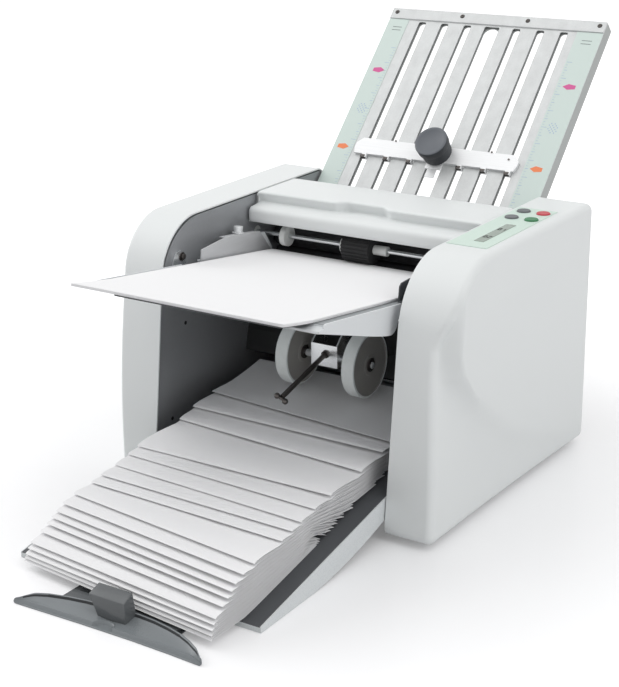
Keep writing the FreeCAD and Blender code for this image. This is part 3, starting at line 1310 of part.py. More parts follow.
def control_board():
    """Circuit board under the keypad, fixed to the right side plate."""
    return block(FRAME_R_OUT, WIDTH / 2 - 3 * COVER_WALL, BOARD_FRONT_Y, PANEL_Y1,
                 BOARD_Z, BOARD_Z + BOARD_T)


def power_inlet():
    """Mains socket in the right cover's rear wall, with three contact blades."""
    y0, y1 = COVER_DEPTH - INLET_DEPTH, COVER_DEPTH
    half_w, half_h = INLET_W / 2, INLET_H / 2
    body = block(INLET_X - half_w + RUN, INLET_X + half_w - RUN, y0, y1,
                 INLET_Z - half_h + RUN, INLET_Z + half_h - RUN)
    flange = block(INLET_X - half_w - INLET_FLANGE, INLET_X + half_w + INLET_FLANGE, y1, y1 + INLET_FLANGE_T,
                   INLET_Z - half_h - INLET_FLANGE, INLET_Z + half_h + INLET_FLANGE)
    floor_y = y0 + INLET_WALL + EPS
    cavity = block(INLET_X - half_w + INLET_WALL, INLET_X + half_w - INLET_WALL,
                   floor_y, y1 + INLET_FLANGE_T + EPS,
                   INLET_Z - half_h + INLET_WALL, INLET_Z + half_h - INLET_WALL)
    inlet = join(body, flange).cut(cavity)
    for x in (INLET_X - BLADE_STEP, INLET_X, INLET_X + BLADE_STEP):
        inlet = inlet.fuse(block(x - BLADE_W / 2, x + BLADE_W / 2, floor_y - EPS, y1 - INLET_DEPTH / 2,
                                 INLET_Z - BLADE_H / 2, INLET_Z + BLADE_H / 2))
    return inlet.removeSplitter()


def power_switch():
    """Rocker on its pivot barrel, resting with its lower half pressed."""
    half = SWITCH_H / 2
    y0, y1 = COVER_DEPTH - COVER_WALL, COVER_DEPTH + SWITCH_PROUD
    profile = [(y0, -half), (y1, -half), (y1 - SWITCH_PROUD, 0.0), (y1, half), (y0, half)]
    raised = [(y, z + SWITCH_Z) for y, z in profile]
    rocker = yz_prism(INLET_X - SWITCH_W / 2, INLET_X + SWITCH_W / 2, raised)
    rocker.rotate(V(INLET_X, y0, SWITCH_Z), V(1, 0, 0), -SWITCH_TILT)
    barrel = bar_x(INLET_X - SWITCH_W / 2, INLET_X + SWITCH_W / 2, y0, SWITCH_Z, SWITCH_BARREL_R)
    return join(rocker, barrel)


# ================================================================ assembly
NODES = {
    "base_plate": base_plate,
    "rubber_feet": rubber_feet,
    "left_side_frame": left_side_frame,
    "right_side_frame": right_side_frame,
    "tie_bars": tie_bars,
    "shaft_bushes": shaft_bushes,
    "left_side_cover": left_side_cover,
    "right_side_cover": right_side_cover,
    "rear_cover": rear_cover,
    "top_cover": top_cover,
    "drive_motor": drive_motor,
    "motor_pinion": motor_pinion,
    "idler_gear": idler_gear,
    "feed_gear": feed_gear,
    "feed_table": feed_table,
    "infeed_plate": infeed_plate,
    "separator_pad": separator_pad,
    "feed_sheets": feed_sheets,
    "left_guide": left_guide,
    "left_guide_screw": left_guide_screw,
    "right_guide": right_guide,
    "right_guide_screw": right_guide_screw,
    "feed_shaft": feed_shaft,
    "feed_roller": feed_roller,
    "feed_collars": feed_collars,
    "feed_wheel": feed_wheel,
    "upper_fold_plate": upper_fold_plate,
    "upper_plate_pan": upper_plate_pan,
    "plate_top_rail": plate_top_rail,
    "plate_screws": plate_screws,
    "ruler_strips": ruler_strips,
    "fold_stop_bar": fold_stop_bar,
    "fold_knob": fold_knob,
    "lower_fold_plate": lower_fold_plate,
    "lower_fold_stop": lower_fold_stop,
    "exit_chute": exit_chute,
    "wheel_bracket": wheel_bracket,
    "stacker_wheels": stacker_wheels,
    "bracket_handle": bracket_handle,
    "delivery_tray": delivery_tray,
    "tray_mat": tray_mat,
    "wing_stop": wing_stop,
    "folded_sheets": folded_sheets,
    "keypad_panel": keypad_panel,
    "display_window": display_window,
    "control_board": control_board,
    "power_inlet": power_inlet,
    "power_switch": power_switch,
}
for roller_number in ROLLER_CENTRES:
    NODES["fold_roller_%d" % roller_number] = lambda n=roller_number: fold_roller(n)
    NODES["fold_gear_%d" % roller_number] = lambda n=roller_number: fold_gear(n)
for button_name in BUTTON_PLACES:
    NODES[button_name] = lambda n=button_name: push_button(n)


def build():
    """Write one STEP file per node, moved so that the origin is under the machine's middle."""
    os.makedirs("parts", exist_ok=True)
    for name, make in NODES.items():
        shape = make()
        shape.translate(V(0, -MID_Y, 0))
        shape.exportStep("parts/%s.step" % name)
        box = shape.BoundBox
        print("%-20s solids %2d valid %s  x %.1f..%.1f  y %.1f..%.1f  z %.1f..%.1f" % (
            name, len(shape.Solids), shape.isValid(),
            box.XMin, box.XMax, box.YMin, box.YMax, box.ZMin, box.ZMax))


build()
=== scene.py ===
"""Looks of a desk-top paper folding machine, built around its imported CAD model.

Shapes are drawn in machine millimetres: x = 0 at mid width, y = 0 at the foot of the side
covers' front, z = 0 on the table top.  place() carries each piece to the model's own frame.
"""
import json
import math
import random

import bmesh
import bpy
from mathutils import Matrix, Vector


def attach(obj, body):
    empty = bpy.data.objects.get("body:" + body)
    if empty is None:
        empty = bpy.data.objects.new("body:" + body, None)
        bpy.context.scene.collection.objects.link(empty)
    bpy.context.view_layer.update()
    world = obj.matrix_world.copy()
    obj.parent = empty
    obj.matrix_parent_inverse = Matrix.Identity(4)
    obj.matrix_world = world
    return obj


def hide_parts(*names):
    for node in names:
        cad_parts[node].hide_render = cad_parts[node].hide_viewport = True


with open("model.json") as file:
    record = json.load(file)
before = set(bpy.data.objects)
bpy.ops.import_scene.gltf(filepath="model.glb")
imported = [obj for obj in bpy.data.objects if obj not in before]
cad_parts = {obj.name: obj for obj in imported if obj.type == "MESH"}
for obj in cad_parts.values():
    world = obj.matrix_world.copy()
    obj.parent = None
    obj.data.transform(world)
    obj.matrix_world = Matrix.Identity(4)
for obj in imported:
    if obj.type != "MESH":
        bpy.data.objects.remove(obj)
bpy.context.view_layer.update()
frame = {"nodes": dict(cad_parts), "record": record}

# ---------- sizes, in millimetres
MM = 0.001
MIDDLE_Y = 143.9985  # machine y of the model's origin
HALF_WIDTH, DEPTH, FOOT, TOP = 245.0, 418.5, 8.0, 341.0
LEFT_IN, RIGHT_IN = -180.0, 169.0  # inner faces of the side covers
LEAN = math.radians(6.834)  # of the side covers' front
TABLE_TILT, TABLE_Y, TABLE_Z = -7.5, -122.0, 307.0
PLATE_TILT, PLATE_Y = 45.3, 419.5
SHEET_LEFT, SHEET_RIGHT, SHEET_LONG = -154.0, 143.0, 420.0


# ---------- shader sums
class Socket:
    """One output of a node, with the sums that the finishes use."""

    def __init__(self, finish, link):
        self.finish, self.link = finish, link

    def __add__(self, other):
        return self.finish.sum("ADD", self, other)

    def __mul__(self, other):
        return self.finish.sum("MULTIPLY", self, other)

    __radd__ = __add__
    __rmul__ = __mul__


def rgb(red, green, blue):
    """Linear colour from the usual 0 to 255 values."""
    def linear(value):
        share = value / 255.0
        return share / 12.92 if share <= 0.04045 else ((share + 0.055) / 1.055) ** 2.4
    return (linear(red), linear(green), linear(blue), 1.0)


BLACK, WHITE = (0, 0, 0, 1), (1, 1, 1, 1)


class Finish:
    """A material and the nodes that make it."""

    def __init__(self, name, **constants):
        self.material = bpy.data.materials.new(name)
        self.material.use_nodes = True
        self.tree = self.material.node_tree
        self.shader = self.tree.nodes["Principled BSDF"]
        for key, value in constants.items():
            self.shader.inputs[key.replace("_", " ")].default_value = value

    def node(self, kind, settings=None, inputs=None, output=0):
        """Any node: its settings first, then the values or links of its sockets."""
        made = self.tree.nodes.new("ShaderNode" + kind)
        for key, value in (settings or {}).items():
            setattr(made, key, value)
        for key, value in (inputs or {}).items():
            self.feed(made.inputs[key], value)
        return Socket(self, made.outputs[output])

    def feed(self, target, value):
        if isinstance(value, Socket):
            self.tree.links.new(value.link, target)
        else:
            target.default_value = value

    def wire(self, **inputs):
        for key, value in inputs.items():
            self.feed(self.shader.inputs[key.replace("_", " ")], value)

    def sum(self, operation, first, second):
        return self.node("Math", {"operation": operation}, {0: first, 1: second})

    def mix(self, share, first, second):
        return self.node("Mix", {"data_type": "RGBA"}, {0: share, 6: first, 7: second}, 2)

    def shade(self, share, colour, depth):
        """Between a darker and a lighter shade of a colour."""
        low = tuple(c * (1 - depth) for c in colour[:3]) + (1.0,)
        high = tuple(min(1.0, c * (1 + depth)) for c in colour[:3]) + (1.0,)
        return self.mix(share, low, high)

    def where(self, scale=(1, 1, 1), turn=(0, 0, 0)):
        coords = self.node("TexCoord", output=3)
        angles = [math.radians(a) for a in turn]
        return self.node("Mapping", None, {0: coords, 2: angles, 3: scale})

    def noise(self, scale, detail=2.0, place=None):
        inputs = {"Vector": place or self.where(), "Scale": scale, "Detail": detail}
        return self.node("TexNoise", None, inputs)

    def bump(self, height, distance):
        return self.node("Bump", None, {"Height": height, "Distance": distance})


# ---------- finishes
def moulded(name, colour, rough=0.42, grain=1400.0, depth=0.00004, mottle=0.025):
    """Injection-moulded plastic: fine spark-eroded grain, a little uneven in shade."""
    f = Finish(name, Specular_IOR_Level=0.4)
    fine, broad = f.noise(grain, 3.0), f.noise(14.0, 2.0)
    f.wire(Base_Color=f.shade(fine * 0.6 + broad * 0.4, colour, mottle),
           Roughness=broad * 0.12 + fine * 0.1 + (rough - 0.11), Normal=f.bump(fine, depth))
    return f.material


def painted_steel(name, colour, rough=0.5):
    """Powder coat on sheet steel: orange-peel waves and a fine grit."""
    f = Finish(name, Specular_IOR_Level=0.35)
    peel, grit = f.noise(420.0, 2.0), f.noise(2300.0, 2.0)
    f.wire(Base_Color=f.shade(grit * 0.5 + peel * 0.5, colour, 0.06),
           Roughness=peel * 0.16 + (rough - 0.08),
           Normal=f.bump(peel * 0.7 + grit * 0.3, 0.00008))
    return f.material


def brushed_metal(name, colour, rough, scale, metal=1.0):
    """Metal brushed or rolled one way: long streaks in shade, gloss and relief."""
    f = Finish(name)
    streaks, cloud = f.noise(1.0, 4.0, f.where(scale)), f.noise(22.0, 2.0)
    f.wire(Base_Color=f.shade(streaks * 0.7 + cloud * 0.3, colour, 0.1),
           Metallic=cloud * 0.02 + (metal - 0.02),
           Roughness=streaks * 0.2 + cloud * 0.08 + (rough - 0.14),
           Normal=f.bump(streaks, 0.00003))
    return f.material


def rolled_sheet(name, colour, turn):
    """Bright rolled sheet: fine lines along it under soft silvery clouds."""
    f = Finish(name, Specular_IOR_Level=0.5)
    lines = f.noise(1.0, 4.0, f.where((1100, 10, 300), turn))
    cloud = f.noise(1.0, 4.0, f.where((70, 34, 70), turn))
    grain = f.noise(420.0, 3.0)
    f.wire(Base_Color=f.shade(cloud * 0.55 + grain * 0.3 + lines * 0.15, colour, 0.22),
           Metallic=cloud * 0.2 + 0.1, Roughness=cloud * 0.2 + lines * 0.1 + 0.32,
           Normal=f.bump(lines, 0.00002))
    return f.material


def printed_film(name, colour, rough=0.38):
    """Printed plastic film: even colour with a faint orange peel."""
    f = Finish(name, Specular_IOR_Level=0.45)
    wave, dots = f.noise(260.0, 2.0), f.noise(5200.0, 1.0)
    f.wire(Base_Color=f.shade(dots, colour, 0.02), Roughness=wave * 0.1 + (rough - 0.05),
           Normal=f.bump(wave, 0.00003))
    return f.material


def rubbery(name, colour, rough=0.75):
    """Matt rubber with fine dust in its pores."""
    f = Finish(name, Specular_IOR_Level=0.25)
    pores, dust = f.noise(1900.0, 3.0), f.noise(60.0, 4.0)
    f.wire(Base_Color=f.shade(dust * 0.7 + pores * 0.3, colour, 0.18),
           Roughness=dust * 0.12 + (rough - 0.06), Normal=f.bump(pores, 0.00008))
    return f.material


def office_paper(name, colour):
    """White writing paper: fibre cloud and a slight tooth."""
    f = Finish(name, Specular_IOR_Level=0.2)
    cloud, fibre = f.noise(160.0, 4.0), f.noise(1.0, 4.0, f.where((900, 2600, 1700)))
    f.wire(Base_Color=f.shade(cloud * 0.6 + fibre * 0.4, colour, 0.018),
           Roughness=cloud * 0.06 + 0.76, Normal=f.bump(fibre, 0.00003))
    return f.material


def speckled(name, colour, fleck, rough=0.55):
    """Coarse-grained plastic: pale ground with fine, barely darker flecks."""
    f = Finish(name, Specular_IOR_Level=0.35)
    grain = f.noise(760.0, 3.0)
    flecks = f.node("ValToRGB", None, {0: grain})
    stops = flecks.link.node.color_ramp.elements
    stops[0].position, stops[1].position = 0.36, 0.52
    f.wire(Base_Color=f.mix(flecks, fleck, colour), Roughness=grain * 0.12 + (rough - 0.06),
           Normal=f.bump(grain, 0.00010))
    return f.material


def circuit_board(name, lacquer, trace):
    """Lacquered board with darker traces."""
    f = Finish(name, Specular_IOR_Level=0.5)
    grid = {"Vector": f.where((140, 140, 140)), "Color1": WHITE, "Color2": (0.8, 0.8, 0.8, 1),
            "Mortar": BLACK, "Scale": 1.0}
    cells = f.node("TexBrick", {"offset": 0.5}, grid, 1)
    f.wire(Base_Color=f.mix(cells, lacquer, trace), Roughness=f.noise(90.0) * 0.1 + 0.3)
    return f.material


ACROSS = (14, 900, 900)  # brushed along x: the streaks are fine along y and z

FINISH_ROWS = (
    (moulded, "cover_plastic", (226, 229, 229)),
    (moulded, "table_plastic", (219, 222, 224), 0.45),
    (moulded, "charcoal_plastic", (92, 96, 99), 0.5, 1100.0, 0.00007, 0.06),
    (moulded, "black_plastic", (34, 35, 37), 0.42, 1200.0, 0.00005, 0.1),
    (moulded, "white_nylon", (226, 228, 226), 0.35, 800.0, 0.00002),
    (moulded, "button_grey", (98, 101, 104), 0.36),
    (moulded, "button_green", (52, 120, 78), 0.36),
    (moulded, "button_red", (196, 66, 78), 0.36),
    # the counter digits' own black, and painted shade in the side plate's holes and the screws'
    # seats
    (moulded, "hole_black", (20, 20, 21), 0.6),
    (moulded, "wing_plastic", (124, 129, 132), 0.3, 1100.0, 0.00004, 0.06),
    # darker copy of the wing's plastic: painted shade on the inner wall of its rear rim
    (moulded, "wing_shadow_gap", (52, 54, 56), 0.5, 1100.0, 0.00004, 0.06),
    (moulded, "grip_plastic", (94, 97, 99), 0.2, 1100.0, 0.00003, 0.06),
    # grey of the wheel discs: painted shade on the wheels' sides, whose plastic is the tyres'
    # mint
    (moulded, "wheel_disc", (166, 164, 160), 0.5, 900.0, 0.00005, 0.08),
    (moulded, "knob_plastic", (93, 97, 103), 0.4, 900.0, 0.00006, 0.08),
    # darker copy of the knob's plastic: painted shade on the knob's sides
    (moulded, "knob_side", (54, 57, 61), 0.5, 900.0, 0.00006, 0.08),
    (speckled, "tray_wall", (220, 224, 225), rgb(211, 215, 217)),
    (painted_steel, "frame_paint", (104, 106, 109)),
    (painted_steel, "charcoal_sheet", (58, 60, 63), 0.42),
    (painted_steel, "tray_charcoal", (82, 84, 87), 0.55),
    # the right guide's own dark paint, and painted shade on the table's tongue
    (painted_steel, "guide_dark", (70, 72, 75), 0.4),
    # near black: painted shade on the exit chute deep inside the machine
    (painted_steel, "chute_dark", (40, 41, 42), 0.6),
    (brushed_metal, "steel_sheet", (196, 198, 200), 0.38, ACROSS),
    (brushed_metal, "stop_bar", (232, 233, 234), 0.4, ACROSS, 0.2),
    (brushed_metal, "motor_steel", (150, 152, 154), 0.4, (900, 40, 40)),
    (brushed_metal, "bright_steel", (214, 216, 218), 0.24, (30, 700, 700)),
    (brushed_metal, "gear_steel", (170, 168, 160), 0.36, [600] * 3),
    (brushed_metal, "dark_steel", (92, 88, 86), 0.34, [500] * 3),
    (brushed_metal, "axle_steel", (224, 226, 227), 0.3, [500] * 3, 0.4),
    (brushed_metal, "side_plate", (158, 160, 163), 0.44, [260] * 3, 0.5),
    (brushed_metal, "pan_steel", (168, 171, 170), 0.5, [300] * 3, 0.3),
    (brushed_metal, "table_sheet", (150, 154, 156), 0.5, (900, 12, 900), 0.3),
    (brushed_metal, "guide_steel", (196, 197, 199), 0.45, (900, 14, 300), 0.4),
    (rolled_sheet, "brushed_plate", (201, 203, 203), (-PLATE_TILT, 0, 0)),
    (printed_film, "mint_print", (201, 214, 209)),
    (printed_film, "keypad_film", (206, 224, 214)),
    (printed_film, "display_grey", (150, 162, 152), 0.2),
    (printed_film, "ink_grey", (96, 104, 104)),
    (printed_film, "ink_blue", (158, 178, 206)),
    (printed_film, "ink_magenta", (205, 84, 146)),
    (printed_film, "ink_orange", (232, 128, 78)),
    (rubbery, "wheel_mint", (234, 241, 238), 0.55),
    (rubbery, "rubber", (46, 46, 47)),
    (rubbery, "roller_rubber", (58, 58, 60), 0.6),
    (office_paper, "paper", (240, 240, 241)),
    (circuit_board, "board_green", (34, 104, 66), rgb(20, 66, 42)),
)
FINISHES = {name: make(name, rgb(*colour), *rest) for make, name, colour, *rest in FINISH_ROWS}


# ---------- modelling by hand
def deselect():
    bpy.ops.object.select_all(action="DESELECT")


def focus(obj):
    """Make a piece the one that is selected and active."""
    deselect()
    bpy.context.view_layer.objects.active = obj
    obj.select_set(True)


def settle(name):
    """Name the new primitive and press its place into its mesh."""
    obj = bpy.context.active_object
    obj.name = obj.data.name = name
    bpy.ops.object.transform_apply(location=True, rotation=True, scale=True)
    return obj


def block(name, x0, x1, y0, y1, z0, z1):
    """Box between two corners."""
    deselect()
    middle = Vector((x0 + x1, y0 + y1, z0 + z1)) * (MM / 2)
    bpy.ops.mesh.primitive_cube_add(size=MM, location=middle, scale=(x1 - x0, y1 - y0, z1 - z0))
    return settle(name)


TURNS = {"X": (0, math.pi / 2, 0), "Z": (0, 0, 0)}


def round_bar(name, axis, middle, radius, length, sides=48, tip=None):
    """Round bar about its middle point, or a cone if its tip has another radius."""
    deselect()
    tip = radius if tip is None else tip
    bpy.ops.mesh.primitive_cone_add(vertices=sides, radius1=radius * MM, radius2=tip * MM,
                                    depth=length * MM, location=Vector(middle) * MM,
                                    rotation=TURNS[axis])
    return settle(name)


def spread(name, columns, rows, point):
    """Grid whose crossing of a column and a row lies at point(column, row)."""
    deselect()
    wide, high = len(columns) - 1, len(rows) - 1
    bpy.ops.mesh.primitive_grid_add(x_subdivisions=wide, y_subdivisions=high, size=1)
    obj = settle(name)
    for vertex in obj.data.vertices:
        i, j = round((vertex.co.x + 0.5) * wide), round((vertex.co.y + 0.5) * high)
        vertex.co = Vector(point(columns[i], rows[j])) * MM
    return obj


class Editing:
    """Edit mode on one piece, with nothing or everything selected."""

    def __init__(self, obj, select="DESELECT"):
        self.obj, self.select = obj, select

    def __enter__(self):
        focus(self.obj)
        bpy.ops.object.mode_set(mode="EDIT")
        bpy.ops.mesh.select_all(action=self.select)
        return self

    def __exit__(self, *_):
        bpy.ops.object.mode_set(mode="OBJECT")

    def pick(self, kind, chosen):
        """Select the chosen edges or faces."""
        bpy.ops.mesh.select_mode(type=kind)
        bpy.ops.mesh.select_all(action="DESELECT")
        mesh = bmesh.from_edit_mesh(self.obj.data)
        for item in mesh.edges if kind == "EDGE" else mesh.faces:
            item.select_set(chosen(item))
        bmesh.update_edit_mesh(self.obj.data)

    def edges(self, test, axis=None):
        """Select the edges with both ends in the test, and along an axis if one is named."""
        def chosen(edge):
            run = (edge.verts[1].co - edge.verts[0].co).normalized()
            straight = axis is None or abs(run[axis]) > 0.99
            return straight and all(test(v.co / MM) for v in edge.verts)
        self.pick("EDGE", chosen)

    def faces(self, test):
        """Select the faces whose middle and normal pass the test."""
        self.pick("FACE", lambda face: test(face.calc_center_median() / MM, face.normal))


def round_edges(obj, test, radius, segments=4, axis=None):
    """Bevel the edges whose ends pass the test."""
    with Editing(obj) as edit:
        edit.edges(test, axis)
        bpy.ops.mesh.bevel(offset=radius * MM, offset_type="OFFSET", segments=segments,
                           affect="EDGES")


def slice_off(obj, point, normal):
    """Cut away what lies beyond a plane and close the cut."""
    with Editing(obj, "SELECT"):
        bpy.ops.mesh.bisect(plane_co=Vector(point) * MM, plane_no=Vector(normal).normalized(),
                            use_fill=True, clear_outer=True)


def score(obj, test, axis, places):
    """Part the chosen faces along planes across an axis."""
    normal = [float(axis == k) for k in range(3)]
    with Editing(obj) as edit:
        for place in places:
            edit.faces(test)
            point = [place * MM * n for n in normal]
            bpy.ops.mesh.bisect(plane_co=point, plane_no=normal)


def drop_faces(obj, test):
    """Delete the faces that pass the test."""
    with Editing(obj) as edit:
        edit.faces(test)
        bpy.ops.mesh.delete(type="FACE")


def step_face(obj, test, steps):
    """Inset the chosen face and push it along its normal, step after step."""
    with Editing(obj) as edit:
        edit.faces(test)
        for inset, push in steps:
            bpy.ops.mesh.inset(thickness=inset * MM, depth=push * MM)


def reshape(obj, rule):
    """Move every vertex as the rule says."""
    for vertex in obj.data.vertices:
        vertex.co = Vector(rule(vertex.co / MM)) * MM


def weld(obj, reach=0.002):
    """Join corners that lie on each other."""
    with Editing(obj, "SELECT"):
        bpy.ops.mesh.remove_doubles(threshold=reach * MM)


def apply(obj, kind, **settings):
    """Add a modifier and press it into the mesh."""
    focus(obj)
    modifier = obj.modifiers.new(kind, kind)
    for key, value in settings.items():
        setattr(modifier, key, value)
    bpy.ops.object.modifier_apply(modifier=modifier.name)


def carve(obj, tool):
    """Cut with a tool that is then thrown away."""
    apply(obj, "BOOLEAN", object=tool, operation="DIFFERENCE", solver="EXACT")
    bpy.data.objects.remove(tool)


def soften(obj, width=0.6, segments=2, angle=40.0):
    """Small bevel on every sharp edge."""
    apply(obj, "BEVEL", width=width * MM, segments=segments, limit_method="ANGLE",
          angle_limit=math.radians(angle))


def merge(name, parts):
    """One object of several pieces."""
    deselect()
    for part in parts:
        part.select_set(True)
    bpy.context.view_layer.objects.active = parts[0]
    if len(parts) > 1:
        bpy.ops.object.join()
    parts[0].name = parts[0].data.name = name
    return parts[0]


def place(obj, tilt=0.0, y=0.0, z=0.0):
    """Turn a piece about X and carry it to the model's frame."""
    turn = Matrix.Rotation(math.radians(tilt), 4, "X")
    obj.data.transform(Matrix.Translation((0, (y - MIDDLE_Y) * MM, z * MM)) @ turn)
    return obj


def on_table(obj):
    """From table coordinates: across, down the slope, off the surface."""
    return place(obj, TABLE_TILT, TABLE_Y, TABLE_Z)


def on_plate(obj):
    """From fold plate coordinates: across, up the plate, off the surface."""
    return place(obj, PLATE_TILT, PLATE_Y, TOP)


def dress(obj, body, slot, *nodes, finish=None, smooth=32.0, even=False):
    """Material and shading of a finished piece, its body, and the nodes it stands for."""
    weld(obj)
    obj.data.materials.clear()
    obj.data.materials.append(FINISHES[finish or slot])
    focus(obj)
    bpy.ops.object.shade_smooth_by_angle(angle=math.radians(smooth))
    if even:
        apply(obj, "WEIGHTED_NORMAL", keep_sharp=True)
    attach(obj, body)
    if nodes:
        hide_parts(*nodes)
    return obj


def tint(obj, finish, chosen):
    """Give some faces of a dressed piece a second finish."""
    obj.data.materials.append(FINISHES[finish])
    for face in obj.data.polygons:
        face.material_index = int(chosen(face))


def along(table, value):
    """Straight-line reading of a short list of pairs."""
    if value <= table[0][0]:
        return table[0][1]
    for (a, low), (b, high) in zip(table, table[1:]):
        if value <= b:
            return low + (high - low) * (value - a) / (b - a)
    return table[-1][1]


def ease(value, low, high):
    """0 below low, 1 above high, smooth between."""
    share = min(1.0, max(0.0, (value - low) / (high - low)))
    return share * share * (3 - 2 * share)


# ---------- side covers
WALL = 2.0
RIM, LEFT_RIM = 9.0, 6.0  # rounding of the outer edges
BROW, LEFT_BROW = 78.1, 69.0  # rounding between front and top
HEEL = 12.0  # rounding at the foot and the rear
BUTTON_HOLES = [(x, y) for x in (187.0, 214.6) for y in (289.3, 325.0)]
BUTTON_HOLE_R = 9.3
REAR_HOLES = ((188.5, 215.5, 40.0, 60.0), (194.7, 209.3, 78.8, 101.2))  # inlet and switch
# how far the front corner line lies inside the cover's full width, by height
CORNER = [(8, 12), (52, 14), (93, 16), (133, 19), (173, 22), (212, 24.5), (245, 25), (262, 18),
          (280, 8), (300, 2), (341, 0)]
# machine y where the raised zone of the side begins, by height
ZONE = [(8, 430), (48, 310), (90, 204), (134, 134), (174, 86), (207, 58), (236, 49), (260, 49),
        (290, 49)]
# lines that part the covers' faces before they are bent
LEVELS = [25.3 + 8.0 * k for k in range(18)] + [169.3 + 4.0 * k for k in range(30)]
REAR_LINES = [99.0 + 8.0 * k for k in range(40)]
FRONT_LINES = [11.0, 19.0] + [26.0 + 2.0 * k for k in range(36)]


def side_pinch(y, z):
    """How far the right side lies inside its full width: a pinched corner, then a raised zone."""
    bend = (z - FOOT) * math.tan(LEAN) + RIM
    start = max(bend + 12.0, along(ZONE, z))
    share = min(1.0, max(0.0, (y - bend) / (start - bend)))
    hollow, high = share ** 1.7, ease(z, 170, 235)
    swell = hollow if z < 170 else hollow * (1 - high) + ease(share, 0, 1) * high
    waist = 5.0 * math.exp(-((y - 190.0) / 110.0) ** 2) * ease(z, 290.0, TOP)
    return along(CORNER, z) * (1 - swell) + waist


def side_tuck(y, z):
    """How far the left cover's side draws in towards its foot and its brow."""
    low, high = 0.00036, 0.0003
    depth = low * (185.0 - z) ** 2 if z < 185 else high * (min(z, 262.0) - 185.0) ** 2
    return depth * (1 - ease(y, 60.0, 320.0))


def cover_body(name, inner, outer, brow, rim):
    """Solid cover: leaning front, round brow, rounded corners and outer rim."""
    low, high = sorted((inner, outer))
    body = block(name, low, high, 0, DEPTH, FOOT, TOP)
    slice_off(body, (0, 0, FOOT), (0, -math.cos(LEAN), math.sin(LEAN)))
    round_edges(body, lambda p: p.z > TOP - 0.1 and p.y < 60, brow, 24, 0)
    round_edges(body, lambda p: p.z < FOOT + 0.1 and p.y < 5, HEEL, 6, 0)
    round_edges(body, lambda p: p.y > DEPTH - 0.1, HEEL, 6, 0)
    round_edges(body, lambda p: abs(p.x - outer) < 0.05, rim, 6)
    return body


def side_cover(name, inner, outer, brow, rim, inset):
    """Hollow side cover; inset(y, z) says how far its side lies inside the full width."""
    side = 1 if outer > inner else -1
    body = cover_body(name, inner, outer, brow, rim)
    drop_faces(body, lambda p, n: abs(p.x - inner) < 0.05)
    score(body, lambda p, n: True, 2, LEVELS)
    score(body, lambda p, n: True, 1, REAR_LINES)
    score(body, lambda p, n: n.x * side > 0.99, 1, FRONT_LINES)
    edge = outer - side * rim
    def pinched(p):
        weight = min(1.0, max(0.0, (p.x - inner) / (edge - inner)))
        return p.x - side * weight * inset(p.y, p.z), p.y, p.z
    reshape(body, pinched)
    apply(body, "SOLIDIFY", thickness=WALL * MM, offset=-1.0, use_even_offset=True)
    return body


def make_side_covers():
    """Both covers, with the right one's openings for buttons, inlet and switch."""
    right = side_cover("right_cover_shell", RIGHT_IN, HALF_WIDTH, BROW, RIM, side_pinch)
    for x, y in BUTTON_HOLES:
        carve(right, round_bar("tool", "Z", (x, y, TOP), BUTTON_HOLE_R, 20.0))
    for x0, x1, z0, z1 in REAR_HOLES:
        carve(right, block("tool", x0, x1, DEPTH - 9, DEPTH + 5, z0, z1))
    left = side_cover("left_cover_shell", LEFT_IN, -HALF_WIDTH, LEFT_BROW, LEFT_RIM, side_tuck)
    for shell, node in ((right, "right_side_cover"), (left, "left_side_cover")):
        soften(shell, 0.5, 2, 60.0)
        dress(place(shell), "frame", "cover_plastic", node, smooth=50.0, even=True)


# ---------- top cover
COVER_LEFT, COVER_RIGHT = -178.0, 167.0
RECESS = 12.0
LIP_Y, LIP_R = 229.0, 9.0
COVER_REAR, REAR_R = 341.0, 6.0
LOW_EDGE = [(LIP_Y, 302.5), (COVER_REAR, 322.0)]  # lower edge of the ends
PIN_XS, PIN_Y, PIN_Z = (-180.5, 170.0), 332.0, 327.0


def recess_at(x):
    """Depth of the middle recess in the riser."""
    return RECESS * (ease(x, -56.0, -36.0) - ease(x, 14.0, 34.0))


def cover_profile():
    """(y, z, share of the recess) from the lip's lower edge to the rear edge."""
    points = [(LIP_Y, 302.5, 0), (226.5, 303.0, 0), (225.2, 305.0, 0), (225.0, 308.0, 0),
              (225.0, 315.0, 0)]
    for k in range(1, 7):
        a = math.radians(90.0 * k / 6)
        points.append((234.0 - LIP_R * math.cos(a), 315.0 + LIP_R * math.sin(a), 0))
    points += [(242.0, 324.9, 0.5), (247.0, 325.6, 1), (250.2, 326.3, 1), (251.4, 327.0, 1),
               (251.3, 328.6, 1), (249.4, 333.0, 1), (247.2, 337.0, 1), (247.0, 338.6, 1),
               (247.9, 340.0, 1), (249.6, 340.8, 1), (252.0, TOP, 1), (262.0, TOP, 1),
               (285.0, TOP, 0.4), (310.0, TOP, 0), (335.0, TOP, 0)]
    for k in range(1, 5):
        a = math.radians(90.0 * k / 4)
        points.append((335.0 + REAR_R * math.sin(a), 335.0 + REAR_R * math.cos(a), 0))
    return points + [(COVER_REAR, 322.0, 0)]


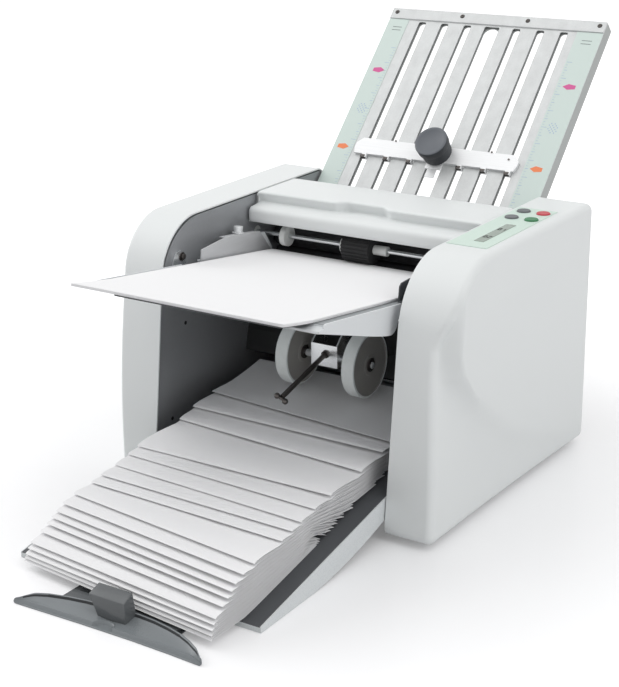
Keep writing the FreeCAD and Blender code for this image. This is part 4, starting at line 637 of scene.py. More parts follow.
def make_top_cover():
    """Stepped cover over the rollers: one shell with closed ends, and its two pins."""
    inner = [COVER_LEFT + 0.7, COVER_LEFT + 2.0, COVER_LEFT + 4.0]
    inner += [-150.0 + 11.5 * k for k in range(8)] + [-60.0 + 2.5 * k for k in range(41)]
    inner += [52.0 + 11.0 * k for k in range(10)]
    inner += [COVER_RIGHT - 4.0, COVER_RIGHT - 2.0, COVER_RIGHT - 0.7]
    columns = [(COVER_LEFT, True), (COVER_LEFT, False)] + [(x, False) for x in inner]
    columns += [(COVER_RIGHT, False), (COVER_RIGHT, True)]
    def point(column, row):
        x, low = column
        y, z, share = row
        y += share * recess_at(x)
        reach = min(abs(x - COVER_LEFT), abs(x - COVER_RIGHT))
        drop = 1.6 * (1 - ease(reach, 0.0, 3.0))
        if low:
            return x, max(y, LIP_Y), min(z, along(LOW_EDGE, max(y, LIP_Y)))
        return x, y + (drop if z < 324 else 0.0), z - (drop if z > 323 else 0.0)
    shell = spread("top_cover_shell", columns, cover_profile(), point)
    apply(shell, "SOLIDIFY", thickness=2.6 * MM, offset=-1.0)
    pins = [round_bar("pin", "X", (x, PIN_Y, PIN_Z), 3.0, 9.0) for x in PIN_XS]
    shell = merge("top_cover_shell", [shell] + pins)
    dress(place(shell), "top_cover", "cover_plastic", "top_cover", smooth=40.0)


# ---------- feed table
TABLE_LEFT, TABLE_RIGHT, TABLE_END = -166, 156, 358
HANG_FROM, HANG_RUN, HANG_RISE = 30.0, 80.0, 4.2  # how the overhanging paper rises
LEAVES, LEAF, LEAF_PITCH, LEAF_FRONT = 6, 0.57, 0.6, -50.4


def table_skirt(x0, x1):
    """Side skirt of the table: level with the lip, then a step up, and deeper to the rear."""
    skirt = block("skirt", x0, x1, 0.4, 181, -34, 1.5)
    slice_off(skirt, (0, 0.4, -7.8), (0, -26.2, -147))
    slice_off(skirt, (0, 181, 1.5), (0, 35, -8))
    carve(skirt, block("tool", x0 - 1, x1 + 1, -2, 9.6, -5.2, 4))
    round_edges(skirt, lambda p: p.z > 1.4 and p.y < 12, 5.0, 6, 0)
    round_edges(skirt, lambda p: p.z < -33 and p.y > 160, 12.0, 8, 0)
    round_edges(skirt, lambda p: p.z < -33 and p.y < 160, 40.0, 6, 0)
    return skirt


def make_feed_table():
    """Pale table frame: a sloping front lip, a floor under the sheet and two skirts."""
    lip = block("feed_table_frame", TABLE_LEFT - 1.9, TABLE_RIGHT + 1.9, 0, 15.2, -8.4, -2.6)
    slice_off(lip, (0, 15.2, -2.6), (0, -2.8, 15.2))
    round_edges(lip, lambda p: p.y < 0.1, 4.0, 6, 2)
    round_edges(lip, lambda p: p.y < 5 and p.z > -6, 0.7, 3)
    floor = block("floor", TABLE_LEFT, TABLE_RIGHT, 14.5, TABLE_END, -6.0, -0.9)
    skirts = [table_skirt(x, x + 2) for x in (TABLE_LEFT - 2, TABLE_RIGHT)]
    table = merge("feed_table_frame", [lip, floor] + skirts)
    soften(table, 0.45, 2, 50.0)
    dress(on_table(table), "frame", "table_plastic", "feed_table", even=True)


def lifted(obj):
    """Let what hangs over the table's front edge rise a little towards its free end."""
    score(obj, lambda p, n: True, 1, [-48.0 + 6.0 * k for k in range(13)])
    def rise(p):
        share = max(0.0, (HANG_FROM - p.y) / HANG_RUN)
        return p.x, p.y, p.z + HANG_RISE * share ** 1.5
    reshape(obj, rise)


def make_table_sheet():
    """Grey sheet on the table, and its tongue that carries the overhanging paper, dark as a
    painted shadow line under the paper.
    """
    sheet = block("feed_table_sheet", TABLE_LEFT + 0.2, TABLE_RIGHT - 0.2, 15.4, TABLE_END,
                  -0.85, 0.0)
    soften(sheet, 0.2, 1)
    dress(on_table(sheet), "frame", "steel_sheet", finish="table_sheet")
    tongue = block("feed_table_tongue", -89, 141, -51.2, 34, -1.0, 0.3)
    round_edges(tongue, lambda p: p.y < -51, 4.0, 4, 2)
    lifted(tongue)
    soften(tongue, 0.25, 2)
    # the tongue's dark finish is painted shade: its front edge stands for the shadow line under
    # the paper
    dress(on_table(tongue), "frame", "steel_sheet", finish="guide_dark")


def make_feed_sheets():
    """Sheets waiting on the table, in a few loose leaves with soft corners."""
    draw = random.Random(4)
    leaves = []
    for k in range(LEAVES):
        dx, dy = draw.uniform(-0.5, 0.5), draw.uniform(-0.5, 0.5) + 0.2 * abs(k - 3)
        z0 = 0.4 + LEAF_PITCH * k
        leaf = block("leaf", SHEET_LEFT + dx, SHEET_RIGHT + dx, LEAF_FRONT + dy,
                     LEAF_FRONT + SHEET_LONG - 0.4, z0, z0 + LEAF)
        round_edges(leaf, lambda p: p.y < LEAF_FRONT + 3, 3.0, 4, 2)
        lifted(leaf)
        leaves.append(leaf)
    stack = merge("feed_sheets_loose", leaves)
    soften(stack, 0.12, 1)
    dress(on_table(stack), "frame", "paper", "feed_sheets", smooth=20.0)


# ---------- paper guides
# outlines down the table and off it
LEFT_GUIDE = [(212.7, 0.6), (212.7, 18.4), (262, 28.6), (276, 30.2), (345, 30.0), (372, 5.5),
              (374, 0.6)]
RIGHT_GUIDE = [(190, 0.6), (191, 20.5), (194, 23.5), (213, 26.6), (357, 26.8), (375, 5.5),
               (376.5, 0.6)]
KNOB_SPOT = (-167, 304.5)


def guide_wall(name, face, outline):
    """Upright sheet of a guide between two faces, cut to its outline."""
    (t0, low), (t1, _) = outline[0], outline[-1]
    wall = block(name, face[0], face[1], t0, t1, low, 40.0)
    for (ta, za), (tb, zb) in zip(outline[1:-1], outline[2:-1]):
        slice_off(wall, (0, ta, za), (0, za - zb, tb - ta))
    soften(wall, 0.5, 2)
    return on_table(wall)


def make_guides():
    """Guide walls over the machined feet: the left one bright, the right one dark."""
    left = guide_wall("left_guide_wall", (-161.1, -158.9), LEFT_GUIDE)
    dress(left, "left_guide", "steel_sheet", finish="guide_steel")
    flange = block("left_guide_flange", -168, -160.2, 262, 340, 28.4, 29.8)
    soften(flange, 0.4, 2)
    dress(on_table(flange), "left_guide", "steel_sheet", finish="guide_steel")
    knob = round_bar("left_guide_knob", "Z", (*KNOB_SPOT, 35.8), 6.2, 8.0, 48, 6.4)
    washer = round_bar("washer", "Z", (*KNOB_SPOT, 31.0), 8.6, 1.4, 48)
    stem = round_bar("stem", "Z", (*KNOB_SPOT, 16.0), 2.5, 30.0, 24)
    knob = merge("left_guide_knob", [knob, washer, stem])
    soften(knob, 0.7, 3)
    dress(on_table(knob), "left_guide_screw", "bright_steel", "left_guide_screw",
          finish="axle_steel", smooth=36.0)
    right = guide_wall("right_guide_wall", (147.9, 150.1), RIGHT_GUIDE)
    dress(right, "right_guide", "dark_steel", finish="guide_dark")


# ---------- folded work on the tray
# front edge of each folded sheet from the lowest up: y and z of its left and right end
FRONTS = [
    (-279, 9.8, -314.5, 10), (-278, 13.5, -314, 15.5), (-276.5, 18, -313, 21.5),
    (-272, 23.5, -309.5, 27), (-266.7, 28.6, -306.3, 32.5), (-249.4, 36, -292.9, 40.5),
    (-238, 41.5, -283, 46), (-229, 46, -276, 51), (-220, 50.5, -268, 56.5),
    (-208, 56, -253.7, 61.4), (-187.4, 60.5, -232.9, 65.3), (-155, 62.8, -179, 69.8),
    (-136.5, 65.9, -158.3, 73.3), (-108.9, 69, -139.7, 77), (-83.3, 74, -111, 81.6),
    (-63.8, 78, -76.6, 85.2), (24, 84.5, -8, 89.5), (53.5, 92.3, 41.3, 97), (96, 100, 66, 101.3),
]
PILE_BEHIND = [(150.0, 106.5), (180.0, 110.5), (198.0, 114.0), (212.0, 117.5)]
PILE_END = 210.0
FOLDED = 205.0
TRAY_FRONT, TRAY_LIP, TRAY_SLOPE = -259.0, 7.5, 0.182
SHEET_STEPS = [0.0, 1.5, 3.5, 7.0, 12.0, 18.0, 25.0, 34.0, 46.0, 60.0, 80.0, 105.0, 130.0, 155.0,
               180.0, FOLDED]


def front_at(index, x):
    """Front edge of a folded sheet at x."""
    y0, z0, y1, z1 = FRONTS[index]
    share = (x - SHEET_LEFT) / (SHEET_RIGHT - SHEET_LEFT)
    return y0 + (y1 - y0) * share, z0 + (z1 - z0) * share


def pile_top(x, y):
    """Height of the pile at a point: through the front edges with a bulge behind each fold."""
    table = [front_at(k, x) for k in range(len(FRONTS))]
    bulge = 0.0
    for (a, _), (b, _) in zip(table, table[1:]):
        if a < y < b:
            share = (y - a) / (b - a)
            bulge = min(3.4, 0.045 * (b - a)) * 2.6 * math.sqrt(share) * (1 - share)
    return bulge + along(table + PILE_BEHIND, y)


def pile_rank(x, y, shift):
    """How many front edges, moved back by shift, lie in front of y, with a fraction."""
    table = [(front_at(k, x)[0] + shift, k) for k in range(len(FRONTS))]
    return along(table + [(table[-1][0] + 40.0, len(FRONTS))], y)


def sheet_height(index, x, y):
    """Middle height of a folded sheet inside the fanned pile, and the room it has there."""
    floor = max(TRAY_LIP + TRAY_SLOPE * (y - TRAY_FRONT), 9.0) + 1.0
    depth = pile_top(x, y) - floor
    high = max(pile_rank(x, y, 0.0), index)
    covered = y > front_at(0, x)[0] + FOLDED
    low = min(pile_rank(x, y, FOLDED), index) if covered else 0.0
    share = (index + 0.6 - low) / (high + 0.6 - low)
    return floor + depth * min(1.0, share), depth / (high + 1.0 - low)


def folded_sheet(index):
    """One folded sheet: a round fold in front, two leaves that part a little behind it."""
    columns = [SHEET_LEFT + 297.0 * k / 12 for k in range(13)]
    rows = [(s, -1) for s in reversed(SHEET_STEPS)] + [(0.0, 0)] + [(s, 1) for s in SHEET_STEPS]
    def point(x, row):
        back, side = row
        y = min(front_at(index, x)[0] + back, PILE_END)
        z, room = sheet_height(index, x, y)
        fold = 0.7 * min(1.0, math.sqrt((back + 0.1) / 2.5))
        part = fold + min(0.22 * room, 1.6) * (1 - math.exp(-back / 22.0))
        return x, y - (0.5 if not side else 0.0), z + side * part - (part - 0.7)
    sheet = spread("folded_sheet_%02d" % (index + 1), columns, rows, point)
    apply(sheet, "SOLIDIFY", thickness=0.24 * MM, offset=0.0)
    return dress(place(sheet), "delivery_tray", "paper", smooth=50.0)


def make_folded_sheets():
    sheets = [folded_sheet(k) for k in range(len(FRONTS))]
    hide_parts("folded_sheets")


# ---------- stop in front of the tray
WING_LEFT, WING_RIGHT = -109, 153
WING_REAR = [(-109, -347.5), (-103, -343), (-90, -333.5), (-73.6, -325.5), (-50, -319),
             (-27, -315), (10, -311), (44, -309.5), (66, -311), (88, -315), (107, -320),
             (123, -326.5), (138, -335), (149, -343.5), (153, -347.5)]
WING_FRONT = [(-109, -348.6), (-70, -347.6), (-15, -346.0), (60, -345.4), (110, -346.5),
              (153, -348.6)]
NOTCH_X, NOTCH_HALF, NOTCH_DEEP = 17.5, 13.5, 9.5
TIP_STEPS = [0.0, 0.1, 0.35, 0.8, 1.5, 2.4, 3.4]
# round the section: where y counts from (b foot, f front, m dish, r rear rim), y there, height
WING_ROWS = [("b", 0.0, 0.4), ("b", 0.0, 1.3), ("b", 0.5, 1.7), ("f", 0.9, 1.9), ("f", 2.8, 5.5),
             ("f", 3.4, 6.0), ("f", 4.4, 6.0), ("f", 5.2, 5.4), ("f", 6.6, 5.3), ("m", 0.5, 6.6),
             ("r", -3.9, 8.1), ("r", -3.4, 8.4), ("r", -2.8, 10.8), ("r", -2.4, 11.4),
             ("r", -1.7, 11.7), ("r", -0.6, 11.7), ("r", 0.0, 11.1), ("r", 0.0, 0.4),
             ("b", 0.0, 0.4)]


def wing_front(x):
    """Front edge of the wing, with the thumb notch."""
    notch = max(0.0, 1 - ((x - NOTCH_X) / NOTCH_HALF) ** 2) ** 0.5
    return along(WING_FRONT, x) + NOTCH_DEEP * notch


def tip_share(x):
    """0 at either tip of the wing, 1 a few millimetres in."""
    reach = min(1.0, (x - WING_LEFT) / 4.0, (WING_RIGHT - x) / 2.4)
    return math.sqrt(max(0.0, 1 - (1 - reach) ** 2))


def make_wing():
    """Crescent: a leaning front wall over a thin foot, a dished floor and a steep rear rim."""
    columns = [WING_LEFT + e for e in TIP_STEPS] + [-105 + 2.0 * k for k in range(128)]
    columns += [WING_RIGHT - e for e in reversed(TIP_STEPS)]
    def point(x, row):
        kind, shift, z = row
        foot, front = along(WING_FRONT, x), wing_front(x)
        rear = max(along(WING_REAR, x), foot + 4.0)
        share = min(1.0, (rear - front) / 14.0)
        if kind == "m":
            y = front + 6.6 * share + (rear - front - 10.5 * share) * shift
        else:
            y = {"b": foot, "f": front, "r": rear}[kind] + shift * share
        lower = (0.5 + 0.5 * ease(x, WING_LEFT, -85.0)) * (1 - 0.36 * ease(x, 138.0, WING_RIGHT))
        z = 0.4 + (z - 0.4) * lower
        tip, middle = tip_share(x), (foot + rear) / 2
        return x, middle + (y - middle) * tip, 3.0 + (z - 3.0) * tip
    wing = spread("stop_wing", columns, WING_ROWS, point)
    weld(wing, 0.02)
    with Editing(wing, "SELECT"):
        bpy.ops.mesh.normals_make_consistent(inside=False)
    dress(place(wing), "wing_stop", "charcoal_plastic", "wing_stop", finish="wing_plastic",
          smooth=34.0)
    # The rim's inner wall, which faces forward, takes the darker copy as painted shade.
    def inside_rim(face):
        behind_dish = (wing_front(face.center.x / MM) + 6.0 - MIDDLE_Y) * MM
        return face.normal.y < -0.8 and face.center.z > 5.0 * MM and face.center.y > behind_dish
    tint(wing, "wing_shadow_gap", inside_rim)


def make_wing_grip():
    """Thumb grip that leans forward over the wing, and the slide under the tray."""
    grip = block("wing_grip", -13.0, 36.0, -329.0, -310.5, 4.0, 36)
    def lean(p):
        front, low, left = p.y < -320, p.z < 10, p.x < 12
        if low:
            return (0.0 if left else 38.5), (-330.0 if front else -309.6), p.z
        right = 37.0 if front else 34.5
        return (-13.0 if left else right), p.y, (30.0 if front else p.z)
    reshape(grip, lean)
    round_edges(grip, lambda p: True, 1.3, 4)
    strip = block("strip", -70, 96, -330, -190, 0.4, 2.3)
    left = block("step", -62, 12, -324, -296, 2.0, 7.0)
    right = block("step", 11, 92, -320, -296, 2.0, 7.0)
    slice_off(left, (-62, -321, 2), (11, -72, 0))
    slice_off(right, (92, -315.5, 2), (-7.5, -70, 0))
    step = merge("step", [left, right])
    soften(step, 0.5, 2)
    soften(strip, 0.3, 1)
    dress(place(merge("wing_grip", [grip, step, strip])), "wing_stop", "charcoal_plastic",
          finish="grip_plastic")


# ---------- delivery wheels
WHEEL_XS, WHEEL_Y, WHEEL_Z, WHEEL_R, WHEEL_W = (-55.4, 46.0), 160.0, 157.0, 44.0, 18.5
DISC_R, AXLE_HOLE = 41.25, 4.1
BALL_R = 4.0
AXLE_SLEEVES = ((57.6, 4.4, 2.6), (-66.9, 4.4, 2.6), (-36.5, 4.6, 12.0), (24.0, 4.6, 15.0))


def on_axle(name, x, radius, length, sides):
    """Round bar on the wheels' axle."""
    return round_bar(name, "X", (x, WHEEL_Y, WHEEL_Z), radius, length, sides)


def from_axle(p):
    """Distance of a point from the wheels' axle."""
    return math.hypot(p.y - WHEEL_Y, p.z - WHEEL_Z)


def axle_hole(obj, x):
    carve(obj, on_axle("tool", x, AXLE_HOLE, 40.0, 32))


def wheel_tread(x):
    """Soft tyre: a band with round shoulders and a hollow middle for the disc."""
    tread = on_axle("tread", x, WHEEL_R, WHEEL_W, 96)
    round_edges(tread, lambda p: from_axle(p) > 43, 1.6, 4)
    carve(tread, on_axle("tool", x, DISC_R - 0.05, 30.0, 96))
    return tread


def wheel_disc(x):
    """Plain disc inside the tyre, dished a little on both sides."""
    disc = on_axle("disc", x, DISC_R, WHEEL_W - 0.8, 96)
    dish = [(1.4, 0.0), (0.5, -0.7), (25.0, 0.0), (0.6, 0.6)]
    for side in (-1, 1):
        step_face(disc, lambda p, n: n.x * side > 0.99 and from_axle(p) < 5, dish)
    axle_hole(disc, x)
    return disc


def wheel_hub(x, side):
    """Boss, spring clip and its two ears on one side of a wheel."""
    boss = on_axle("boss", x + side * 9.0, 9.0, 2.8, 40)
    soften(boss, 0.7, 3)
    ring = on_axle("ring", x + side * 10.9, 7.0, 1.0, 32)
    carve(ring, block("tool", x - 20, x + 20, WHEEL_Y - 1.6, WHEEL_Y + 1.6, WHEEL_Z,
                      WHEEL_Z + 12))
    for part in (boss, ring):
        axle_hole(part, x)
    near, far = sorted((x + side * 10.4, x + side * 11.4))
    ears = [block("ear", near, far, y, y + 3, WHEEL_Z + 5, WHEEL_Z + 9) for y in (155.2, 161.8)]
    return merge("hub", [boss, ring] + ears)


def make_wheels():
    """Two wheels: soft tyre on a plain disc, with a hub on each side, and the axle's sleeves."""
    treads = merge("wheel_treads", [wheel_tread(x) for x in WHEEL_XS])
    dress(place(treads), "stacker_wheels", "wheel_mint", "stacker_wheels", smooth=36.0)
    discs = merge("wheel_discs", [wheel_disc(x) for x in WHEEL_XS])
    # the discs take the grey finish as painted shade on the wheels' sides
    dress(place(discs), "stacker_wheels", "wheel_mint", finish="wheel_disc", smooth=30.0)
    hubs = merge("wheel_hubs", [wheel_hub(x, side) for x in WHEEL_XS for side in (-1, 1)])
    dress(place(hubs), "stacker_wheels", "dark_steel", smooth=36.0)
    sleeves = [on_axle("cap", x, radius, length, 40) for x, radius, length in AXLE_SLEEVES]
    axle = merge("axle_sleeves", sleeves)
    soften(axle, 0.6, 3)
    dress(place(axle), "stacker_wheels", "bright_steel", finish="axle_steel", smooth=36.0)


def bar_between(name, a, b, radius, sides):
    """Round bar from one point to another."""
    a, b = Vector(a), Vector(b)
    run = b - a
    bar = round_bar(name, "Z", (0, 0, 0), radius, run.length, sides)
    turn = run.to_track_quat("Z", "Y").to_matrix().to_4x4()
    bar.data.transform(Matrix.Translation((a + b) * (MM / 2)) @ turn)
    return bar


def make_lift_rod():
    """Rod that lifts the wheels, with a cross pin and two balls at its tip."""
    root, tip = (-4.5, 147.5, 166.0), (-6.2, 45.5, 138.2)
    rod = bar_between("lift_rod", root, tip, 3.3, 32)
    collar = bar_between("collar", root, (-4.55, 143.0, 164.8), 5.2, 32)
    pin = bar_between("pin", (-11.5, 42.0, 140.2), (-1.0, 44.8, 133.4), 1.9, 20)
    balls = []
    for centre in ((-11.2, 42.0, 140.0), (-1.2, 44.6, 133.6)):
        deselect()
        bpy.ops.mesh.primitive_uv_sphere_add(segments=24, ring_count=16, radius=BALL_R * MM,
                                             location=Vector(centre) * MM)
        balls.append(settle("ball"))
    soften(rod, 0.5, 2)
    rod = merge("lift_rod", [rod, collar, pin] + balls)
    dress(place(rod), "wheel_carrier", "dark_steel", "bracket_handle", smooth=40.0)


# ---------- fold plate
PLATE_LEFT, PLATE_RIGHT, PLATE_END = -178.2, 167.2, 289
PLATE_MIDDLE = -5.5
SLOTS_FROM, SLOTS_TO = -52, 268
SLOT_XS = [PLATE_MIDDLE + off for off in (-115.5, -77.9, -40.2, 39.5, 77.2, 113.8)]
SCREW_XS, SCREW_V = (-169.3, -58.8, 47.2, 158.4), 281.5
STOP_DOTS = ((-78, 54.4), (75, 54.6), (104, 46))
KNOB_V = 43
INK, INK_DEEP = 0.62, 0.12  # where the print lies over the plate


def make_plate():
    """Front sheet with its seven slots, and the top rail."""
    front = block("plate_front", PLATE_LEFT, PLATE_RIGHT, -105, PLATE_END, -1.5, 0.0)
    for x, half in [(x, 6) for x in SLOT_XS] + [(PLATE_MIDDLE, 12)]:
        tool = block("tool", x - half, x + half, SLOTS_FROM, SLOTS_TO, -2.5, 1.0)
        round_edges(tool, lambda p: True, 2.6, 4, 2)
        carve(front, tool)
    rail = block("rail", PLATE_LEFT, PLATE_RIGHT, 270.5, PLATE_END, -0.2, 2.2)
    round_edges(rail, lambda p: p.z > 2.1, 0.8, 3, 0)
    front = merge("plate_front", [front, rail])
    soften(front, 0.25, 1, 50.0)
    dress(on_plate(front), "frame", "brushed_plate", "upper_fold_plate", "plate_top_rail",
          smooth=30.0)


def make_screws():
    """Cross-head screws along the top rail, each sunk in a shallow seat whose shade is painted as
    a thin black disc round its head.
    """
    screws, seat_shades = [], []
    for x in SCREW_XS:
        head = round_bar("head", "Z", (x, SCREW_V, 2.9), 3.0, 1.5, 32, 2.4)
        for across, up in ((2.0, 0.4), (0.4, 2.0)):
            carve(head, block("tool", x - across, x + across, SCREW_V - up, SCREW_V + up, 2.9, 5))
        screws.append(head)
        seat_shades.append(round_bar("seat", "Z", (x, SCREW_V, 2.24), 3.5, 0.12, 32))
    dress(on_plate(merge("plate_screw_heads", screws)), "frame", "dark_steel", "plate_screws")
    # black discs round the heads: painted shade of the seats
    dress(on_plate(merge("plate_screw_seat_shades", seat_shades)), "frame", "dark_steel",
          finish="hole_black")


def make_stop_sleeves():
    """Dark sleeves on the stop bar's teeth, where they pass the slots, and its three rivets."""
    sleeves = []
    for x in SLOT_XS:
        sleeve = round_bar("sleeve", "X", (x - 0.5, 24.6, 2.2), 3.3, 7.6, 24)
        round_edges(sleeve, lambda p: True, 0.7, 2)
        sleeves.append(sleeve)
    sleeves += [round_bar("dot", "Z", (x, v, 5.0), 1.5, 1.2, 20) for x, v in STOP_DOTS]
    dress(on_plate(merge("stop_teeth_sleeves", sleeves)), "fold_stop", "dark_steel")


def make_stop_tab():
    """Pale guide under the knob that runs in the middle slot."""
    tab = block("stop_tab", -18, 7, 17.5, 29, 0.6, 2.4)
    tongue = block("tongue", -13.5, 1.5, 4.0, 18.5, 0.6, 1.8)
    tab = merge("stop_tab", [tab, tongue])
    soften(tab, 0.4, 2)
    dress(on_plate(tab), "fold_stop", "bright_steel", finish="stop_bar")


def make_knob():
    """Clamp knob: tapered foot, wide cap with a softened rim and a shallow dish."""
    def bar(name, z, radius, length, sides, tip=None):
        return round_bar(name, "Z", (PLATE_MIDDLE, KNOB_V, z), radius, length, sides, tip)
    foot = bar("stop_knob", 13.8, 21.0, 17.4, 72, 22.4)
    cap = bar("cap", 28.8, 23.6, 12.6, 96, 24.0)
    round_edges(cap, lambda p: p.z > 34, 2.2, 5)
    round_edges(cap, lambda p: p.z < 23, 1.0, 2)
    def dish(p, n):
        return n.z > 0.99 and math.hypot(p.x - PLATE_MIDDLE, p.y - KNOB_V) < 5
    step_face(cap, dish, [(2.6, 0.0), (0.9, -0.6)])
    knob = merge("stop_knob", [foot, cap, bar("stem", 1.0, 4.0, 8.0, 32)])
    weld(knob)
    # Only the top faces keep the knob's plastic; the rest takes the darker copy as painted shade
    # on the sides.
    top = {f.index for f in knob.data.polygons if f.normal.z > 0.6 and f.center.z > 33 * MM}
    dress(on_plate(knob), "fold_knob", "charcoal_plastic", "fold_knob", finish="knob_side",
          smooth=35.0)
    tint(knob, "knob_plastic", lambda face: face.index in top)


def print_mark(x0, x1, v0, v1):
    """Thin printed bar on a ruler strip."""
    return block("mark", x0, x1, v0, v1, INK, INK + INK_DEEP)


def arrow(x, v, length, height, side):
    """Printed arrow with a square tail."""
    mark = print_mark(x - length / 2, x + length / 2, v - height / 2, v + height / 2)
    score(mark, lambda p, n: True, 0, [x + side * length * 0.1])
    def pointed(p):
        share = (p.x - x) * side / length
        grow = 1.0 if abs(share - 0.1) < 0.02 else (0.62 if share < 0 else 0.06)
        return p.x, v + (p.y - v) * grow, p.z
    reshape(mark, pointed)
    return mark


def make_ruler_marks():
    """Scale bars, size arrows and plain dots on the two ruler strips."""
    left, right = -146.5, 130.0  # the strips' inner ends of the scale
    grey, blue = [], []
    for v in (249.5, 255.0):
        grey += [print_mark(-167.0, -152.0, v, v + 0.9), print_mark(139.5, 154.6, v, v + 0.9)]
    for k in range(18):
        v = 217.0 - 13.8 * k
        bars = [(0, 5.0 if k % 2 else 8.0, 0.6), (1, 3.0, 0.4), (2, 3.0, 0.4)]
        for step, long, thick in bars:
            low = v - 4.6 * step
            blue += [print_mark(left - long, left, low, low + thick),
                     print_mark(right, right + long, low, low + thick)]
    magenta, orange = ([arrow(x0, v, long, 9.5, 1), arrow(x1, v, long, 9.5, -1)]
                       for x0, x1, v, long in ((-159.0, 147.5, 176.0, 19.0),
                                               (-162.0, 146.5, 38.5, 18.0)))
    for x in (-159.4, 147.0):
        blue += [print_mark(x - 7 + 2.6 * k, x - 5.6 + 2.6 * k, 98.0 + 3.0 * n, 99.8 + 3.0 * n)
                 for k in range(6) for n in range(6)
                 if (k + n) % 2 == 0 and abs(k - 2.5) + abs(n - 2.5) < 5]
    inks = {"ink_grey": grey, "ink_blue": blue, "ink_magenta": magenta, "ink_orange": orange}
    for name, marks in inks.items():
        dress(on_plate(merge("ruler_" + name, marks)), "frame", "mint_print", finish=name)


# ---------- controls
SEGMENTS = {"0": "abcdef", "1": "bc", "2": "abged"}
COUNTERS = ((188.0, "02"), (228.0, "01"))
DIGIT_XS = (200.8, 206.4)


def digit(x, y, segments):
    """Seven-segment digit that reads from the machine's front."""
    wide, high, thick, gap = 4.1, 9.4, 1.4, 0.12
    x0, x1, y0, y1 = x - wide / 2, x + wide / 2, y - high / 2, y + high / 2
    left, right = (x0, x0 + thick), (x1 - thick, x1)
    up, down = (y + gap, y1 - thick - gap), (y0 + thick + gap, y - gap)
    bars = {
        "a": (x0, x1, y1 - thick, y1), "d": (x0, x1, y0, y0 + thick),
        "g": (left[1] + gap, right[0] - gap, y - thick / 2, y + thick / 2),
        "f": left + up, "b": right + up, "e": left + down, "c": right + down,
    }
    return [block("bar", *bars[s], TOP + 1.3, TOP + 1.42) for s in segments]


def make_counter_digits():
    """Digits on the counter's window."""
    bars = [bar for y, number in COUNTERS for x, figure in zip(DIGIT_XS, number)
            for bar in digit(x, y, SEGMENTS[figure])]
    dress(place(merge("counter_digits", bars)), "frame", "display_grey", finish="hole_black")


# ---------- inner side
PLATE_HOLES = ((80, 197), (44, 73.5), (300, 60))
TAB_SCREW = (75.5, 289.4)


def make_left_tab():
    """Bright tab with a screw on the left side plate, and the plate's small holes, each a thin
    black disc of painted shade.
    """
    tab = block("side_tab", -181.5, -179.4, 55, 83, 262, 298.5)
    slice_off(tab, (0, 55.0, 284.0), (0, -13.0, 6.5))
    slice_off(tab, (0, 83.0, 288.0), (0, 9.0, 5.0))
    round_edges(tab, lambda p: p.z > 298, 7.0, 8, 0)
    soften(tab, 0.35, 2)
    dress(place(tab), "frame", "bright_steel", smooth=30.0)
    screw = round_bar("tab_screw", "X", (-177.2, *TAB_SCREW), 4.2, 3.4, 6)
    washer = round_bar("washer", "X", (-179.0, *TAB_SCREW), 5.6, 0.9, 40)
    soften(screw, 0.4, 2)
    dress(place(merge("tab_screw", [screw, washer])), "frame", "dark_steel", smooth=30.0)
    # each hole is a thin black disc on the plate: painted shade of a hole
    holes = [round_bar("hole", "X", (-181.4, y, z), 2.6, 0.3, 28) for y, z in PLATE_HOLES]
    dress(place(merge("side_plate_painted_hole_shades", holes)), "frame", "frame_paint", finish="hole_black")


# ---------- pieces that stay as machined
OWN_FINISH = {"delivery_tray": "tray_wall", "keypad_panel": "keypad_film",
              "fold_stop_bar": "stop_bar", "upper_plate_pan": "pan_steel",
              # the exit chute's near black is painted shade
              "exit_chute": "chute_dark", "left_side_frame": "side_plate",
              "right_side_frame": "side_plate"}


def dress_nodes():
    """Give every CAD node its own finish, or else that of its material slot."""
    slots = {row["node"]: row["material_slot"] for row in frame["record"]["subparts"]}
    for name, obj in frame["nodes"].items():
        obj.data.materials.clear()
        obj.data.materials.append(FINISHES[OWN_FINISH.get(name, slots[name])])


# ---------- stage
LAMPS = (  # name, place, size in metres, watts
    ("overhead", (0.0, 0.0, 3.2), 3.0, 18.2),
    ("high_left", (-1.8, -0.6, 2.8), 2.4, 16.3),
    ("high_right", (2.2, -0.4, 2.6), 2.2, 20.1),
    ("left", (-3.0, -0.2, 1.4), 2.0, 30.0),
    ("right", (3.0, 0.0, 1.5), 2.4, 8.2),
)
LAMP_AIM = Vector((0, 0, 0.2))
# floor glow for camera rays: weaker near the machine as a painted shadow round it, full in the
# open
FLOOR_GLOW = {"From Min": 0.3, "From Max": 1.0, "To Min": 0.17, "To Max": 0.5}
SKY_LIGHT = 0.546
CAMERA_PLACE = (1.0321, -1.6284, 0.8484)
CAMERA_SWING, CAMERA_DIP, CAMERA_ROLL, LENS = 33.07, 19.08, -0.67, 82.43


def seen_directly(nodes, links):
    """1 for rays from the camera, a mirror or glass, 0 for light that bounces."""
    path = nodes.new("ShaderNodeLightPath")
    seen = path.outputs["Is Camera Ray"]
    for other in ("Is Glossy Ray", "Is Transmission Ray"):
        both = nodes.new("ShaderNodeMath")
        both.operation = "MAXIMUM"
        links.new(seen, both.inputs[0])
        links.new(path.outputs[other], both.inputs[1])
        seen = both.outputs[0]
    return seen


def make_floor():
    """Pale floor that shows white in the open and keeps a soft shadow; its glow is weaker near
    the machine, a painted shadow round it.
    """
    deselect()
    bpy.ops.mesh.primitive_plane_add(size=30.0)
    floor = bpy.context.active_object
    floor.name = "studio_floor"
    f = Finish("studio_floor", Base_Color=(0.8, 0.8, 0.81, 1), Roughness=0.3,
               Specular_IOR_Level=0.25)
    seen = Socket(f, seen_directly(f.tree.nodes, f.tree.links))
    away = f.node("VectorMath", {"operation": "LENGTH"}, {0: f.where()}, "Value")
    glow_and_painted_shade = f.node("MapRange", {"interpolation_type": "SMOOTHSTEP"},
                        {"Value": away, **FLOOR_GLOW})
    f.wire(Emission_Color=f.mix(seen * glow_and_painted_shade, BLACK, WHITE), Emission_Strength=1.0)
    floor.data.materials.append(f.material)


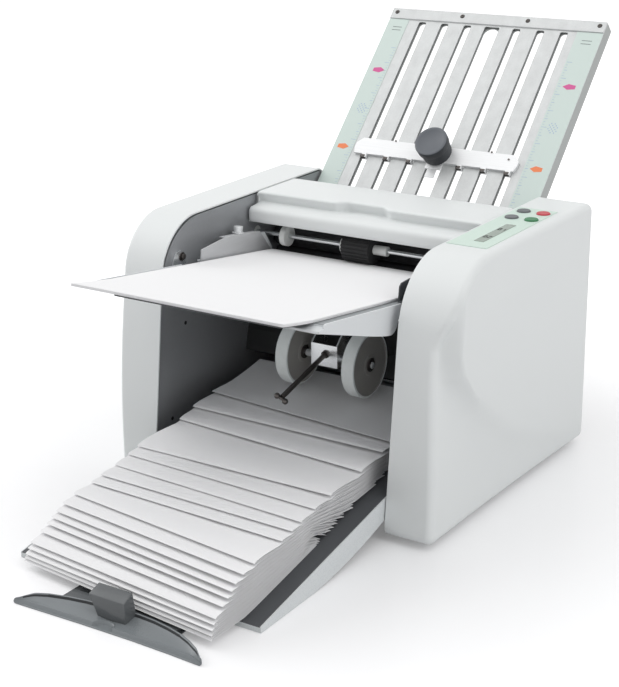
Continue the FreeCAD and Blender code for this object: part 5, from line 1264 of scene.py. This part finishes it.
def make_world():
    """White round the scene for the eye, soft grey light on the machine."""
    world = bpy.data.worlds.new("studio")
    bpy.context.scene.world = world
    world.use_nodes = True
    nodes, links = world.node_tree.nodes, world.node_tree.links
    strength = nodes.new("ShaderNodeMapRange")
    strength.inputs["To Min"].default_value = SKY_LIGHT
    strength.inputs["To Max"].default_value = 1.0
    links.new(seen_directly(nodes, links), strength.inputs["Value"])
    shade = nodes["Background"]
    shade.inputs["Color"].default_value = WHITE
    links.new(strength.outputs[0], shade.inputs["Strength"])


def add_to_scene(name, data):
    obj = bpy.data.objects.new(name, data)
    bpy.context.scene.collection.objects.link(obj)
    return obj


def make_lamp(name, spot, size, power):
    """Square soft light aimed at the machine."""
    data = bpy.data.lights.new(name, "AREA")
    data.size, data.energy = size, power
    obj = add_to_scene(name, data)
    obj.location = spot
    obj.rotation_euler = (LAMP_AIM - Vector(spot)).to_track_quat("-Z", "Y").to_euler()


def make_camera():
    """Camera at the front right, a little above the machine."""
    data = bpy.data.cameras.new("camera")
    data.sensor_width, data.lens = 36.0, LENS
    data.clip_start, data.clip_end = 0.05, 60.0
    obj = add_to_scene("camera", data)
    turn = Matrix.Rotation(math.radians(CAMERA_SWING), 4, "Z")
    turn = turn @ Matrix.Rotation(math.radians(90 - CAMERA_DIP), 4, "X")
    turn = turn @ Matrix.Rotation(math.radians(CAMERA_ROLL), 4, "Z")
    obj.matrix_world = Matrix.Translation(CAMERA_PLACE) @ turn
    bpy.context.scene.camera = obj


def make_stage():
    bpy.context.scene.view_settings.view_transform = "Standard"
    make_floor()
    make_world()
    for lamp in LAMPS:
        make_lamp(*lamp)
    make_camera()


# ---------- assembly
for make in (make_stage, dress_nodes, make_side_covers, make_top_cover, make_feed_table,
             make_table_sheet, make_feed_sheets, make_guides, make_folded_sheets, make_wing,
             make_wing_grip, make_wheels, make_lift_rod, make_plate, make_screws,
             make_stop_sleeves, make_stop_tab, make_knob, make_ruler_marks,
             make_counter_digits, make_left_tab):
    make()
